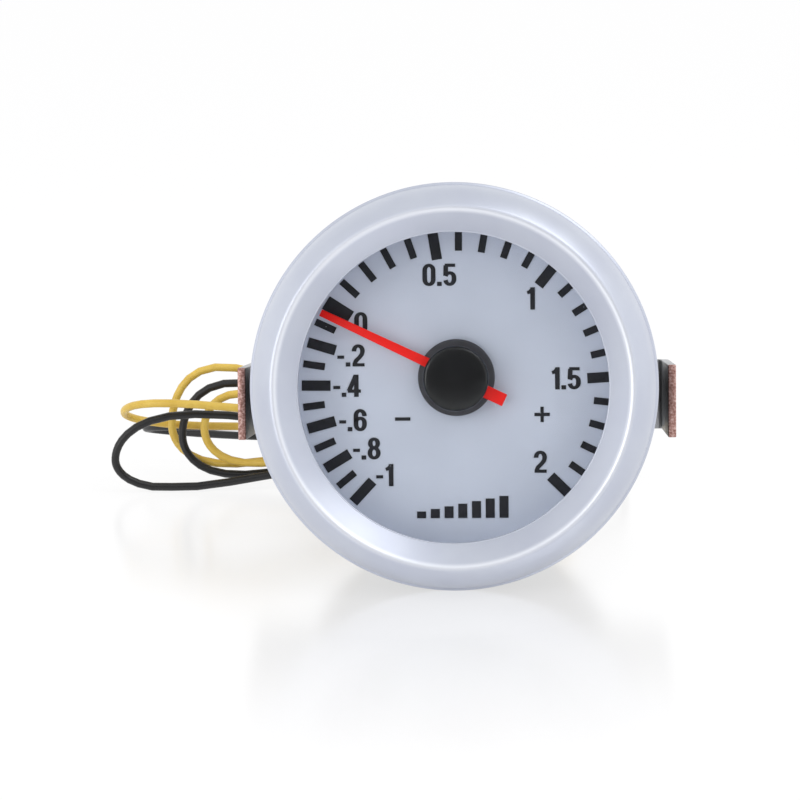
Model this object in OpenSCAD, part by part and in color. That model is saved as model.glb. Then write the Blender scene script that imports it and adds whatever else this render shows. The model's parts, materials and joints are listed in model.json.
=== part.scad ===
// Two-inch mechanical boost gauge for a vehicle dashboard, in millimetres.
// It stands as it was set down on a table: on the lowest point of its bezel and on the rear edge
// of its case, so the face leans back a little. Each piece is drawn along the gauge's own axis,
// with +Z out of the face, +X to the reader's right and z = 0 on the bezel's rear seat, and
// stand() then sets the whole gauge down on the plane z = 0.

/* [Bezel] */
// Outside diameter of the bezel
bezel_d = 60; // [58:0.5:66]
// Height of the bezel over the panel
bezel_h = 7; // [6.6:0.1:9]
// Straight edge of the rim, above the panel
bezel_rim_h = 1.2; // [0.6:0.1:1.8]
// Width of the outer band, from the rim in to the crest
bezel_band_w = 3.8; // [3:0.1:4.5]
// Rounding radius of the crest
bezel_crest_round = 0.5; // [0.3:0.05:0.8]
// Swell of the outer band beyond a straight cone
bezel_band_swell = 0.55; // [0.2:0.05:0.9]
// Width of the inner cone, from the crest in to the window
bezel_cone_w = 3.5; // [3:0.1:4.2]
// Drop of the inner cone from the crest to the window edge
bezel_cone_drop = 2.8; // [2:0.1:3.2]
// Thickness of the lip that holds the lens
bezel_lip_t = 0.8; // [0.5:0.1:1.2]

/* [Case] */
// Reach of the bezel beyond the case, which passes through the panel
bezel_reach = 4.2; // [4:0.1:5]
// Wall of the case
case_wall = 0.8; // [0.6:0.05:1]
// Thickness of the rear wall
case_back_t = 1.2; // [1:0.1:1.6]
// Outside rounding of the rear edge
case_edge_r = 1.2; // [0.8:0.1:1.6]
// Step from the case wall in to the neck that the bezel grips
case_neck_step = 0.4; // [0.3:0.05:0.45]
// Space between the movement and the dial, which sets the depth of the case
movement_gap = 4.2; // [3.5:0.1:8]

/* [Lens and dial] */
// Thickness of the lens
lens_t = 1.5; // [1:0.1:1.6]
// Thickness of the rubber ring behind the lens
gasket_t = 0.5; // [0.4:0.1:0.8]
// Space between the lens and the dial
dial_gap = 6.6; // [6.4:0.1:8]
// Thickness of the dial
dial_t = 0.6; // [0.4:0.1:0.8]
// Wall of the spacer ring between the lens gasket and the dial
spacer_wall = 0.7; // [0.5:0.05:0.8]
// Wall of the white cup that lines the case and carries the dial
cup_wall = 1; // [0.8:0.1:1.2]
// Length of a long scale mark
mark_long_len = 4.35; // [4:0.05:5]
// Length of a short scale mark
mark_short_len = 3.3; // [2.5:0.05:3.9]
// Width of a long scale mark
mark_long_w = 1.55; // [1:0.05:1.8]
// Width of a short scale mark
mark_short_w = 1.05; // [0.6:0.05:1.3]
// Width of the block at zero
mark_zero_w = 2.2; // [1.6:0.1:2.6]

/* [Pointer] */
// Height of the pointer axis above the gauge axis
pivot_rise = 1.2; // [0.5:0.1:1.5]
// Distance of the pointer axis to the right of the gauge axis
pivot_right = 0.3; // [0:0.1:0.4]
// Gap between the blade's tip and the spacer ring where they come nearest
blade_gap = 0.7; // [0.5:0.05:3]
// How far the blade runs off the line through the pivot
blade_side = 0.2; // [0:0.05:0.25]
// Length of the tail from the pivot
tail_len = 7.9; // [6:0.1:10]
// Width of the blade at its tip
blade_tip_w = 1.05; // [0.5:0.05:1.1]
// Width of the blade at the hub
blade_root_w = 1.55; // [1:0.05:1.6]
// Width of the tail
tail_w = 1.9; // [1.4:0.1:2.2]
// Thickness of the blade
blade_t = 0.5; // [0.3:0.05:0.6]
// Diameter of the hub's lower disc
hub_disc_d = 11.4; // [10.5:0.1:12]
// Thickness of the hub's lower disc
hub_disc_t = 1; // [0.6:0.1:1.2]
// Diameter of the hub cap
hub_cap_d = 9.7; // [8:0.1:10]
// Height of the hub cap
hub_cap_h = 4; // [3:0.1:4.2]
// Direction of the blade, counted from the reader's right
blade_angle = 154.4; // [150:0.05:160]

/* [Movement] */
// Module of the gear teeth
tooth_module = 0.25; // [0.24:0.005:0.26]
// Width of the movement plates
plate_w = 18; // [17.5:0.5:20]
// Thickness of the movement plates
plate_t = 1; // [0.8:0.1:1.2]
// Space over the hairspring, below the front plate
spring_room = 2; // [1.5:0.1:3]
// Radius of the arbors' pivots
pivot_r = 0.5; // [0.4:0.05:0.6]
// Thickness of the toothed sector
sector_t = 1; // [0.8:0.1:1.2]
// Length of the sector's tail arm
tail_arm = 4.5; // [4.2:0.1:4.8]
// Room beyond the pressure tube's tip block for its travel
tip_room = 2.35; // [2.2:0.05:3]
// Width of the pressure tube along the axis
tube_w = 6; // [5:0.1:7]
// Thickness of the pressure tube
tube_t = 2; // [1.6:0.1:2.2]
// Angle that the pressure tube runs through
tube_span = 250; // [240:1:256]

/* [Rear fittings] */
// Outside width of the U bracket
bracket_w = 66.5; // [64.5:0.5:70]
// Width of the bracket's strip
strip_w = 11; // [9:0.5:12]
// Thickness of the bracket's strip
strip_t = 1.2; // [1:0.1:1.6]
// Length of the bracket's legs
leg_len = 22; // [16:0.5:24]
// Drop of the bracket and the pressure port below the gauge axis
port_drop = 3; // [2.5:0.1:3.5]
// Distance of the two bracket studs in from the side of the case
stud_inset = 8.8; // [8:0.1:9.6]
// Diameter of the studs
stud_d = 4; // [3.5:0.1:4.2]
// Length of the studs behind the case
stud_len = 11; // [10:0.5:14]
// Diameter of the port stem
stem_d = 8; // [7:0.1:8.5]
// Outside diameter of the hose nipple
nipple_d = 4.4; // [4:0.1:5]
// Length of the hose nipple
nipple_len = 9; // [8:0.5:12]
// Bore of the pressure passage
passage_d = 2.2; // [1.5:0.1:2.4]
// Diameter of the lamp holder in the rear wall
lamp_d = 8; // [7:0.1:8.4]
// Gap between the lamp holder and the pressure tube round it
lamp_gap = 1; // [0.6:0.1:1.6]

/* [Leads] */
// Outside diameter of a lead
lead_d = 1.4; // [1:0.05:1.5]
// Space between the two leads where they leave the rubber boot
lead_pitch = 3.2; // [2.6:0.1:3.4]
// Distance from the hose nipple's end to the front of the hank
hank_gap = 12; // [10:0.5:20]
// Distance of the hank's waist to the left of the gauge axis
waist_left = 8; // [4:0.5:14]
// Width of the tie round the waist
tie_w = 2.6; // [2:0.1:4]
// Thickness of the tie
tie_t = 0.8; // [0.6:0.1:1.2]
// Length of the bare end of a lead
tip_len = 6; // [3:0.5:10]
// Diameter of the tinned strands at the bare end
tip_d = 0.9; // [0.6:0.05:0.95]

/* [Hidden] */
$fn = 64;

// One overrun serves all cuts, and one slip serves all hand-fitted pieces that stay still.
over = 1;
slip = 0.05;
// Running clearance of a turning pivot, and the gap kept between pieces that pass each other.
run_gap = 0.03;
pass_gap = 0.5;

// Radii that several pieces share.
bezel_r = bezel_d / 2;
crest_r = bezel_r - bezel_band_w;
window_r = crest_r - bezel_cone_w;
case_r = bezel_r - bezel_reach;
neck_r = case_r - case_neck_step;
case_in_r = case_r - case_wall;
cup_in_r = case_in_r - slip - cup_wall;
dial_open_r = case_in_r - slip - spacer_wall;

// Movement heights: the link over the rear plate, the sector over it, then the hairspring.
link_lift = 1.9;
link_t = 0.8;
link_gap = 0.3;
pinion_over = 0.5;
spring_lift = 1.2;
spring_h = 0.8;
pillar_len = link_lift + link_t + link_gap + sector_t + pinion_over + spring_lift + spring_h + spring_room;
// The block that carries the movement stands on the case floor and holds the pressure tube's root.
tube_lift = 2.8;
block_over = 3;
block_h = tube_lift + tube_w + block_over;

// Heights along the gauge axis, from the lens back to the rear wall.
window_z = bezel_h - bezel_cone_drop;
lens_front_z = window_z - bezel_lip_t;
lens_back_z = lens_front_z - lens_t;
mouth_z = lens_back_z - gasket_t;
dial_z = lens_back_z - dial_gap;
dial_back_z = dial_z - dial_t;
front_plate_z = dial_back_z - movement_gap - plate_t;
pillar_z = front_plate_z - pillar_len;
rear_plate_z = pillar_z - plate_t;
case_floor_z = rear_plate_z - block_h;
case_back_z = case_floor_z - case_back_t;
case_depth = -case_back_z;

// The lean: a line from the bezel's rear edge touches the rounded rear edge of the case.
edge_drop = bezel_r - (case_r - case_edge_r);
edge_run = case_depth - case_edge_r;
lean = atan2(edge_drop, edge_run) - asin(case_edge_r / norm([edge_drop, edge_run]));
axis_h = bezel_r * cos(lean);

// Rim and crest of the bezel's section, as [radius, height].
rim_bevel = 0.35;
band_foot = [bezel_r - rim_bevel, bezel_rim_h + rim_bevel];
crest_mid = [crest_r, bezel_h - bezel_crest_round];
band_tilt = 38;
cone_tilt = atan2(bezel_cone_drop, crest_r - window_r);
band_head = crest_mid + bezel_crest_round * [sin(band_tilt), cos(band_tilt)];

// Pointer axis, with the heights of the pieces on it.
pivot = [pivot_right, pivot_rise];
hub_lift = 1;
hub_z = dial_z + hub_lift;
blade_z = hub_z + hub_disc_t;
arbor_in_cap = 2.4;
arbor_top_z = blade_z + arbor_in_cap;
blade_len = dial_open_r - norm(pivot) - blade_gap;

// Places of the moving pieces between the plates.
link_z = pillar_z + link_lift;
sector_z = link_z + link_t + link_gap;
pinion_z = sector_z - pinion_over;
pinion_h = sector_t + 2 * pinion_over;
spring_z = pinion_z + pinion_h + spring_lift;

// Gear pair: a pinion on the pointer arbor, driven by a toothed sector.
pinion_teeth = 12;
sector_teeth = 96;
pressure_angle = 25;
tooth_slack = 0.02;
pinion_r = tooth_module * pinion_teeth / 2;
sector_r = tooth_module * sector_teeth / 2;
root_share = 1.25;
sector_pivot = pivot - [0, pinion_r + sector_r];
tooth_pitch = 360 / sector_teeth;
teeth_before = 8;
teeth_after = 4;

// Link: it stands square to the tail arm at rest, and pulls the arm as the tube's tip moves outwards.
tip_angle = -25;
tip_block_l = 3.4;
tip_block_w = 3.2;
tube_r = cup_in_r - tip_room - tip_block_w / 2;
tip_pin = tube_r * [cos(tip_angle), sin(tip_angle)];
tip_way = tip_pin - sector_pivot;
tail_angle = atan2(tip_way[1], tip_way[0]) - acos(tail_arm / norm(tip_way));
tail_pin = sector_pivot + tail_arm * [cos(tail_angle), sin(tail_angle)];
link_vector = tip_pin - tail_pin;
link_len = norm(link_vector);
link_angle = atan2(link_vector[1], link_vector[0]);
link_w = 1.6;
pin_r = 0.5;
open_gap = 0.25;
pin_over = 0.4;

// Pressure tube, its root in the socket block and its tip block.
tube_z = case_floor_z + tube_lift;
tube_wall = 0.3;
root_angle = tip_angle + tube_span;
root_half_w = 3;
tube_bite = 1;
tip_post_r = 1.1;
tip_turn = asin((tip_block_l / 2 - tube_bite) / tube_r);
root_turn = asin((root_half_w - tube_bite) / tube_r);

// How far a tube socket runs on past the tube's end, in degrees.
socket_turn = 0.2;

// Socket block, as a plan on the case floor.
cross_bore_r = 0.8;
chamber_turn = 3;
block_left = 8.5;
block_right = 8;
block_top = 3.5;
block_bottom = 15;
root_start_r = 8;
root_end_r = tube_r + 2.5;
root_top_z = tube_z + tube_w + 2 * tube_wall;
root_way = tube_r * [cos(root_angle), sin(root_angle)] + [0, port_drop];
cross_angle = atan2(root_way[1], root_way[0]);

// Movement plates.
plate_top = 6.5;
plate_bottom = 16.5;
plate_corner = 2;
pillar_r = 1.2;
pillar_edge = 1.8;
pillar_x = plate_w / 2 - pillar_edge;
pillar_high = plate_top - pillar_edge;
pillar_low = plate_corner - plate_bottom;
pillar_places = [[-pillar_x, pillar_high], [pillar_x, pillar_high], [-pillar_x, pillar_low]];
screw_r = 0.7;
screw_head_r = 1.4;
screw_head_t = 0.8;
screw_slot_w = 0.4;
screw_bite = 4;
arbor_r = 0.8;
block_screw_x = 5;
block_screw_y = -6;

// Hairspring: a flat spiral from the collet on the arbor out to a stud on the front plate.
spring_turns = 4;
spring_steps = 20;
spring_wire = 0.15;
collet_r = 1.35;
spring_end_r = 5.2;
spring_stud_r = 0.5;

// Scale: angles from the reader's right, in degrees for a tenth of a bar on each side of zero.
zero_angle = 147.25;
press_angle = 9.6;
vacuum_angle = 8;
press_marks = 20;
vacuum_marks = 10;
print_t = 0.1;
mark_end_gap = 0.2;
// The print lies a little to the right of the gauge axis and below it, as it was laid on the dial.
print_mid = [0.6, -0.2];
mark_end_r = dial_open_r - norm(print_mid) - mark_end_gap;

// Rear fittings, with their heights behind the case.
port = [0, -port_drop];
stem_r = stem_d / 2;
nipple_r = nipple_d / 2;
passage_r = passage_d / 2;
boss_r = 6.5;
bend_r = 0.6;
plate_back_z = case_back_z - strip_t;
seal_t = 1;
seal_z = plate_back_z - seal_t;
seal_r = 6;
hex_w = 12;
hex_h = 7;
hex_web_t = 1;
hex_z = seal_z - hex_h;
nipple_end_z = hex_z - nipple_len;
nipple_bevel = 0.4;
stem_end_z = hex_z + hex_web_t + pass_gap;
stud_r = stud_d / 2;
stud_x = case_r - stud_inset;
stud_head_r = 3.2;
stud_head_t = 1.2;
washer_r = 3.6;
washer_t = 0.9;
washer_z = plate_back_z - washer_t;
washer_split = 0.8;
nut_r = 4.3;
nut_h = 5.5;
nut_neck_r = 3.4;
nut_neck_h = 1.2;
nut_z = washer_z - nut_h;
back_screw_x = 5;
back_screw_y = -12.5;
back_screw_r = 1.2;
back_screw_head_r = 2;
back_screw_head_t = 1;
back_screw_bite = 6;

// Lamp holder and its rubber boot, and the wedge-base bulb.
lamp_r = lamp_d / 2;
lamp_flange_w = 1;
lamp_flange_r = lamp_r + lamp_flange_w;
lamp_rise = tube_r - tube_t / 2 - lamp_gap - lamp_r;
lamp_flange_t = 1.2;
lamp_inside = 5;
lamp_tail_r = 3.6;
lamp_tail_h = 5.8;
lamp_boot_r = 2.9;
lamp_boot_h = 4;
lamp_boot_z = case_back_z - lamp_flange_t - lamp_tail_h - lamp_boot_h;
bulb_r = 2.4;
bulb_rise = 8;
bulb_top_z = case_floor_z + bulb_rise;
bulb_foot = 3;

// Middle of the gauge from front to back, without its leads, which is the origin's place.
front_reach = crest_mid[0] * sin(lean) + crest_mid[1] * cos(lean) + bezel_crest_round;
back_reach = (nipple_r - nipple_bevel - port_drop) * sin(lean) - nipple_end_z * cos(lean);
y_mid = (back_reach - front_reach) / 2;

// Leads, in the table's own frame. The hank's places are [depth, height], counted from its front.
lead_r = lead_d / 2;
hank_front = back_reach - y_mid + hank_gap;
hank_rings = 24;
gap_rings = 72;
sweep_ref = [0, 0.77, 0.64];
ring_crowd = 20;
swell_scale = 2.6;

// Each lead passes the waist leftwards in its high slots and rightwards in its low ones.
yellow_high = [[8.8, 12.6], [6.5, 9.9], [4.3, 12.1]];
yellow_low = [[6.5, 7.8], [4.3, 7.8], [8.7, 10.3]];
black_high = [[6.5, 12.4], [4.3, 9.9], [12.7, 9]];
black_low = [[6.5, 5.5], [3.5, 5.1], [12.9, 6.8]];

// Loops as [reach from the waist, depth and height of the far end, swell of the high and low run],
// with the direction of the swell in degrees: 90 for an upright loop, 180 for a flat one.
yellow_left = [[43.5, 9.2, 10.2, 9.4, 5.8], [37.3, 5.1, 10.2, 6.4, 5.1], [51.4, 6.9, 12.8, 7, 4.7]];
yellow_left_tilt = [86, 91, 152];
yellow_right = [[27, 9.3, 9.2, 4, 3.6], [26, 1.3, 9, 3.8, 3.6], [20, 10.5, 12.4, 0, 0]];
yellow_right_tilt = [90, 92, 90];
black_left = [[41.4, 6.8, 8.7, 8, 5.6], [52.4, 0.9, 5.7, 6.2, 5], [50, 22.9, 7, 4.6, 5.4]];
black_left_tilt = [86, 94, 166];
black_right = [[23, 5.9, 10.2, 3.4, 3.6], [36, 11.5, 4.8, 4.4, 4.2], [23, 16.1, 8, 0, 0]];
black_right_tilt = [90, 84, 90];
hank_start = 90;
hank_end = 1050;

// Way of each lead from the boot to the waist, as [to the right, depth, height] from the same front.
yellow_way = [[5, -8, 33.5], [11, -3, 27], [16, 1.5, 21], [14.5, 6, 16.8], [8.5, 8.2, 14.6], [2, 8.8, 13.2],
    [-3, 8.8, 12.7]];
black_way = [[1, -8, 32], [6, -4, 27], [10.5, 0, 21.5], [10.5, 3.8, 17.2], [6, 6, 14.6], [1.5, 6.5, 13.1],
    [-3.5, 6.5, 12.5]];
exit_run = 3;
way_steps = 3;

// Sets a piece that is drawn along the gauge axis down on the table.
module stand() {
    translate([0, -y_mid, axis_h]) rotate([90 - lean, 0, 0]) children();
}

// Puts a piece on each of the two studs, at a height along the axis.
module at_studs(z = 0) {
    for (side = [-1, 1]) translate([port[0] + side * stud_x, port[1], z]) children();
}

// Puts a piece at a place across the axis and a height along it.
module put(place, z = 0) {
    translate([place[0], place[1], z]) children();
}

module ring(outer, inner, h) {
    difference() {
        cylinder(r = outer, h = h);
        translate([0, 0, -over]) cylinder(r = inner, h = h + 2 * over);
    }
}

module round_rect(left, right, bottom, top, r) {
    translate([left + r, bottom]) square([right - left - 2 * r, top - bottom]);
    translate([left, bottom + r]) square([right - left, top - bottom - 2 * r]);
    for (x = [left + r, right - r], y = [bottom + r, top - r]) translate([x, y]) circle(r = r);
}

// Point on the outer band between its foot and its head, for a share from 0 to 1.
function band_point(share) =
    let (chord = band_head - band_foot, side = [-chord[1], chord[0]] / norm(chord))
    band_foot + share * chord - 4 * share * (1 - share) * bezel_band_swell * side;

module bezel() {
    band_steps = 10;
    crest_steps = 6;
    inner_bevel = 0.2;
    pocket_r = neck_r + slip;
    color("gainsboro") stand() rotate_extrude() polygon(concat(
        [[case_r + slip, 0], [bezel_r, 0], [bezel_r, bezel_rim_h]],
        [for (i = [0:band_steps]) band_point(i / band_steps)],
        [for (i = [1:crest_steps]) let (a = band_tilt - (band_tilt + cone_tilt) * i / crest_steps)
            crest_mid + bezel_crest_round * [sin(a), cos(a)]],
        [[window_r + inner_bevel, window_z], [window_r, window_z - inner_bevel], [window_r, lens_front_z],
            [pocket_r, lens_front_z], [pocket_r, case_neck_step]]));
}

module lens() {
    color([0.85, 0.9, 0.92, 0.35]) stand() put([0, 0], lens_back_z) cylinder(r = neck_r - slip, h = lens_t);
}

module lens_gasket() {
    color("black") stand() put([0, 0], mouth_z)
        ring(neck_r - slip, dial_open_r, gasket_t);
}

module spacer_ring() {
    color("white") stand() put([0, 0], dial_z)
        ring(case_in_r - slip, dial_open_r, mouth_z - dial_z);
}

module dial_plate() {
    hole_r = arbor_r + pass_gap;
    color("lightsteelblue") stand() put([0, 0], dial_back_z) difference() {
        cylinder(r = case_in_r - slip, h = dial_t);
        put(pivot, -over) cylinder(r = hole_r, h = dial_t + 2 * over);
    }
}

module mark(angle, len, w) {
    put(print_mid, dial_z) rotate(angle) translate([mark_end_r - len, -w / 2]) cube([len, w, print_t]);
}

module scale_print() {
    color("black") stand() {
        mark(zero_angle, mark_long_len, mark_zero_w);
        for (i = [1:press_marks])
            mark(zero_angle - i * press_angle, i % 5 == 0 ? mark_long_len : mark_short_len,
                i % 5 == 0 ? mark_long_w : mark_short_w);
        for (i = [1:vacuum_marks])
            mark(zero_angle + i * vacuum_angle, i % 2 == 0 ? mark_long_len : mark_short_len,
                i % 2 == 0 ? mark_long_w : mark_short_w);
    }
}

module light_cup() {
    color("white") stand() put([0, 0], case_floor_z)
        ring(case_in_r - slip, cup_in_r, dial_back_z - case_floor_z);
}

module case() {
    edge_steps = 6;
    color([0.12, 0.12, 0.13]) stand() difference() {
        rotate_extrude() polygon(concat(
            [[0, case_back_z]],
            [for (i = [0:edge_steps]) let (a = -90 + 90 * i / edge_steps)
                [case_r - case_edge_r, case_back_z + case_edge_r] + case_edge_r * [cos(a), sin(a)]],
            [[case_r, 0], [neck_r, case_neck_step], [neck_r, mouth_z], [case_in_r, mouth_z],
                [case_in_r, case_floor_z], [0, case_floor_z]]));
        put(port, case_back_z - over) cylinder(r = stem_r + slip, h = case_back_t + 2 * over);
        put([0, lamp_rise], case_back_z - over) cylinder(r = lamp_r + slip, h = case_back_t + 2 * over);
        at_studs(case_back_z - over) cylinder(r = stud_r + slip, h = case_back_t + 2 * over);
        for (side = [-1, 1]) put([side * back_screw_x, back_screw_y], case_back_z - over)
            cylinder(r = back_screw_r + slip, h = case_back_t + 2 * over);
    }
}

// Flat oval section of the pressure tube, grown by a margin.
module tube_section(margin) {
    half = tube_w / 2 - tube_t / 2;
    translate([tube_r - tube_t / 2 - margin, tube_z + tube_w / 2 - half])
        square([tube_t + 2 * margin, 2 * half]);
    for (side = [-1, 1]) translate([tube_r, tube_z + tube_w / 2 + side * half])
        circle(r = tube_t / 2 + margin);
}

module bourdon_tube() {
    color("goldenrod") stand() rotate(tip_angle + tip_turn)
        rotate_extrude(angle = tube_span - root_turn - tip_turn) difference() {
            tube_section(0);
            tube_section(-tube_wall);
        }
}

// Space for an end of the pressure tube in the block that holds it, from one angle to another.
module tube_socket(from, to) {
    rotate(from) rotate_extrude(angle = to - from) tube_section(slip);
}

module tube_tip() {
    post_h = link_z - tube_z - tube_w;
    cheek = (tip_block_w - tube_t) / 2;
    color("goldenrod") stand() {
        difference() {
            rotate(tip_angle) translate([tube_r - tip_block_w / 2, -tip_block_l / 2, tube_z - cheek])
                cube([tip_block_w, tip_block_l, tube_w + 2 * cheek]);
            tube_socket(tip_angle + tip_turn - socket_turn, tip_angle + 4 * tip_turn + 4);
        }
        put(tip_pin, tube_z + tube_w) cylinder(r = tip_post_r, h = post_h - link_gap);
        put(tip_pin, link_z - link_gap - slip) cylinder(r = pin_r, h = link_t + 2 * link_gap + pin_over);
    }
}

module socket_block() {
    color("darkgoldenrod") stand() difference() {
        union() {
            translate([-block_left, -block_bottom, case_floor_z])
                cube([block_left + block_right, block_bottom + block_top, block_h]);
            rotate(root_angle) translate([root_start_r, -root_half_w, case_floor_z])
                cube([root_end_r - root_start_r, 2 * root_half_w, root_top_z - case_floor_z]);
            put(port, stem_end_z) cylinder(r = stem_r, h = case_floor_z - stem_end_z + slip);
        }
        put(port, stem_end_z - over)
            cylinder(r = passage_r, h = tube_z + tube_w / 2 + passage_r - stem_end_z + over);
        put(port, tube_z + tube_w / 2) rotate(cross_angle) rotate([0, 90, 0])
            cylinder(r = cross_bore_r, h = norm(root_way));
        tube_socket(root_angle - 5 * root_turn, root_angle + chamber_turn);
        for (side = [-1, 1]) {
            put([side * back_screw_x, back_screw_y], case_floor_z - over)
                cylinder(r = back_screw_r + slip, h = back_screw_bite + pass_gap + over);
            put([side * block_screw_x, block_screw_y], rear_plate_z - screw_bite - pass_gap)
                cylinder(r = screw_r + slip, h = screw_bite + pass_gap + over);
        }
    }
}

module back_screws() {
    color("silver") stand() for (side = [-1, 1]) put([side * back_screw_x, back_screw_y], case_back_z) {
        translate([0, 0, -back_screw_head_t]) cylinder(r = back_screw_head_r, h = back_screw_head_t);
        cylinder(r = back_screw_r, h = case_back_t + back_screw_bite);
    }
}

module movement_plate(z) {
    color("khaki") stand() put([0, 0], z) difference() {
        linear_extrude(plate_t)
            round_rect(-plate_w / 2, plate_w / 2, -plate_bottom, plate_top, plate_corner);
        put(pivot, -over) cylinder(r = pivot_r + run_gap, h = plate_t + 2 * over);
        put(sector_pivot, -over) cylinder(r = pivot_r + run_gap, h = plate_t + 2 * over);
        children();
    }
}

module at_pillars() {
    for (place = pillar_places) put(place) children();
}

module rear_plate() {
    movement_plate(rear_plate_z) {
        for (side = [-1, 1]) put([side * block_screw_x, block_screw_y], -over)
            cylinder(r = screw_r + slip, h = plate_t + 2 * over);
    }
}

module front_plate() {
    movement_plate(front_plate_z) {
        at_pillars() translate([0, 0, -over]) cylinder(r = screw_r + slip, h = plate_t + 2 * over);
    }
}

module plate_pillars() {
    color("khaki") stand() at_pillars() difference() {
        put([0, 0], pillar_z) cylinder(r = pillar_r, h = pillar_len);
        put([0, 0], front_plate_z - screw_bite - pass_gap)
            cylinder(r = screw_r + slip, h = screw_bite + over);
    }
}

// Cheese-head screw that stands on a face at z and bites downwards.
module small_screw(z, bite) {
    translate([0, 0, z]) difference() {
        cylinder(r = screw_head_r, h = screw_head_t);
        translate([-screw_head_r - over, -screw_slot_w / 2, screw_head_t / 2])
            cube([2 * (screw_head_r + over), screw_slot_w, screw_head_t]);
    }
    translate([0, 0, z - bite]) cylinder(r = screw_r, h = bite + slip);
}

module block_screws() {
    color("silver") stand() for (side = [-1, 1]) put([side * block_screw_x, block_screw_y])
        small_screw(pillar_z, plate_t + screw_bite);
}

module pillar_screws() {
    color("silver") stand() at_pillars()
        small_screw(front_plate_z + plate_t, plate_t + screw_bite - pass_gap);
}

// Involute angle, in degrees, at a radius outside the base circle.
function involute(r, base) = let (t = sqrt(max(0, pow(r / base, 2) - 1))) t * 180 / PI - atan(t);

// Half of a tooth's angle at a radius, for a gear of a pitch radius and a tooth count.
function tooth_half(r, pitch_r, teeth) =
    let (base = pitch_r * cos(pressure_angle))
    90 / teeth - tooth_slack / pitch_r * 180 / PI + involute(pitch_r, base) - involute(max(r, base), base);

// Outline of one tooth from root to tip and back, centred on an angle.
function tooth_points(angle, pitch_r, teeth) =
    let (steps = 5, low = pitch_r - root_share * tooth_module, high = pitch_r + tooth_module)
    concat(
        [for (i = [0:steps])
            let (r = low + (high - low) * i / steps, a = angle - tooth_half(r, pitch_r, teeth))
            r * [cos(a), sin(a)]],
        [for (i = [steps:-1:0])
            let (r = low + (high - low) * i / steps, a = angle + tooth_half(r, pitch_r, teeth))
            r * [cos(a), sin(a)]]);

module pinion_arbor() {
    half_turn = 180 / pinion_teeth;
    color("silver") stand() put(pivot) {
        put([0, 0], pinion_z) linear_extrude(pinion_h) rotate(-90) polygon([
            for (i = [0:pinion_teeth - 1])
                each tooth_points((2 * i + 1) * half_turn, pinion_r, pinion_teeth)]);
        put([0, 0], rear_plate_z) cylinder(r = pivot_r, h = arbor_top_z - rear_plate_z);
        put([0, 0], pillar_z + run_gap) cylinder(r = arbor_r, h = pillar_len - 2 * run_gap);
    }
}

module sector_gear() {
    hub_r = 2;
    rim_w = 1.6;
    low = sector_r - root_share * tooth_module;
    first = 90 - (teeth_before + 0.5) * tooth_pitch;
    last = 90 + (teeth_after + 0.5) * tooth_pitch;
    rim_steps = 12;
    color("khaki") stand() put(sector_pivot) {
        difference() {
            put([0, 0], sector_z) linear_extrude(sector_t) {
                circle(r = hub_r);
                polygon(concat(
                    [for (i = [-teeth_before:teeth_after])
                        each tooth_points(90 + i * tooth_pitch, sector_r, sector_teeth)],
                    [for (i = [0:rim_steps]) let (a = last - (last - first) * i / rim_steps)
                        (low - rim_w) * [cos(a), sin(a)]]));
                for (a = [first + tooth_pitch, last - tooth_pitch]) rotate(a) translate([0, -rim_w / 2])
                    square([low - rim_w / 2, rim_w]);
                rotate(tail_angle) translate([0, -rim_w / 2]) square([tail_arm, rim_w]);
                rotate(tail_angle) translate([tail_arm, 0]) circle(r = rim_w / 2 + slip);
            }
            put([0, 0], sector_z - over) cylinder(r = arbor_r - slip, h = sector_t + 2 * over);
        }
        put([0, 0], rear_plate_z) cylinder(r = pivot_r, h = 2 * plate_t + pillar_len);
        put([0, 0], pillar_z + run_gap) cylinder(r = arbor_r, h = pillar_len - 2 * run_gap);
        put(tail_arm * [cos(tail_angle), sin(tail_angle)], link_z - link_gap)
            cylinder(r = pin_r, h = link_t + 2 * link_gap + sector_t);
    }
}

module link() {
    color("khaki") stand() put(tail_pin, link_z) rotate(link_angle) difference() {
        linear_extrude(link_t) {
            circle(r = link_w / 2);
            translate([0, -link_w / 2]) square([link_len, link_w]);
            translate([link_len, 0]) circle(r = link_w / 2 + open_gap);
        }
        translate([0, 0, -over]) cylinder(r = pin_r + run_gap, h = link_t + 2 * over);
        translate([link_len, 0, -over]) cylinder(r = pin_r + open_gap, h = link_t + 2 * over);
    }
}

module spring_collet() {
    color("khaki") stand() put(pivot, spring_z - slip)
        ring(collet_r, arbor_r + slip / 2, spring_h + 2 * slip);
}

function spiral_point(turn, side) =
    let (r = collet_r + slip + spring_wire / 2 + (spring_end_r - collet_r) * turn / spring_turns)
    (r + side * spring_wire / 2) * [cos(360 * turn + 180), sin(360 * turn + 180)];

module hairspring() {
    count = spring_turns * spring_steps;
    color("steelblue") stand() put(pivot, spring_z) linear_extrude(spring_h) polygon(concat(
        [for (i = [0:count]) spiral_point(i / spring_steps, -1)],
        [for (i = [count:-1:0]) spiral_point(i / spring_steps, 1)]));
}

module spring_stud() {
    out = spring_end_r + 2 * slip + spring_wire + spring_stud_r;
    color("khaki") stand() put(pivot - [out, 0], spring_z - spring_h / 2)
        cylinder(r = spring_stud_r, h = front_plate_z - spring_z + spring_h / 2);
}

module hub_disc() {
    bevel = 0.25;
    color("dimgray") stand() put(pivot, hub_z) difference() {
        union() {
            cylinder(r = hub_disc_d / 2, h = hub_disc_t - bevel);
            cylinder(r = hub_disc_d / 2 - bevel, h = hub_disc_t);
        }
        translate([0, 0, -over]) cylinder(r = pivot_r + slip / 2, h = hub_disc_t + 2 * over);
    }
}

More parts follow.
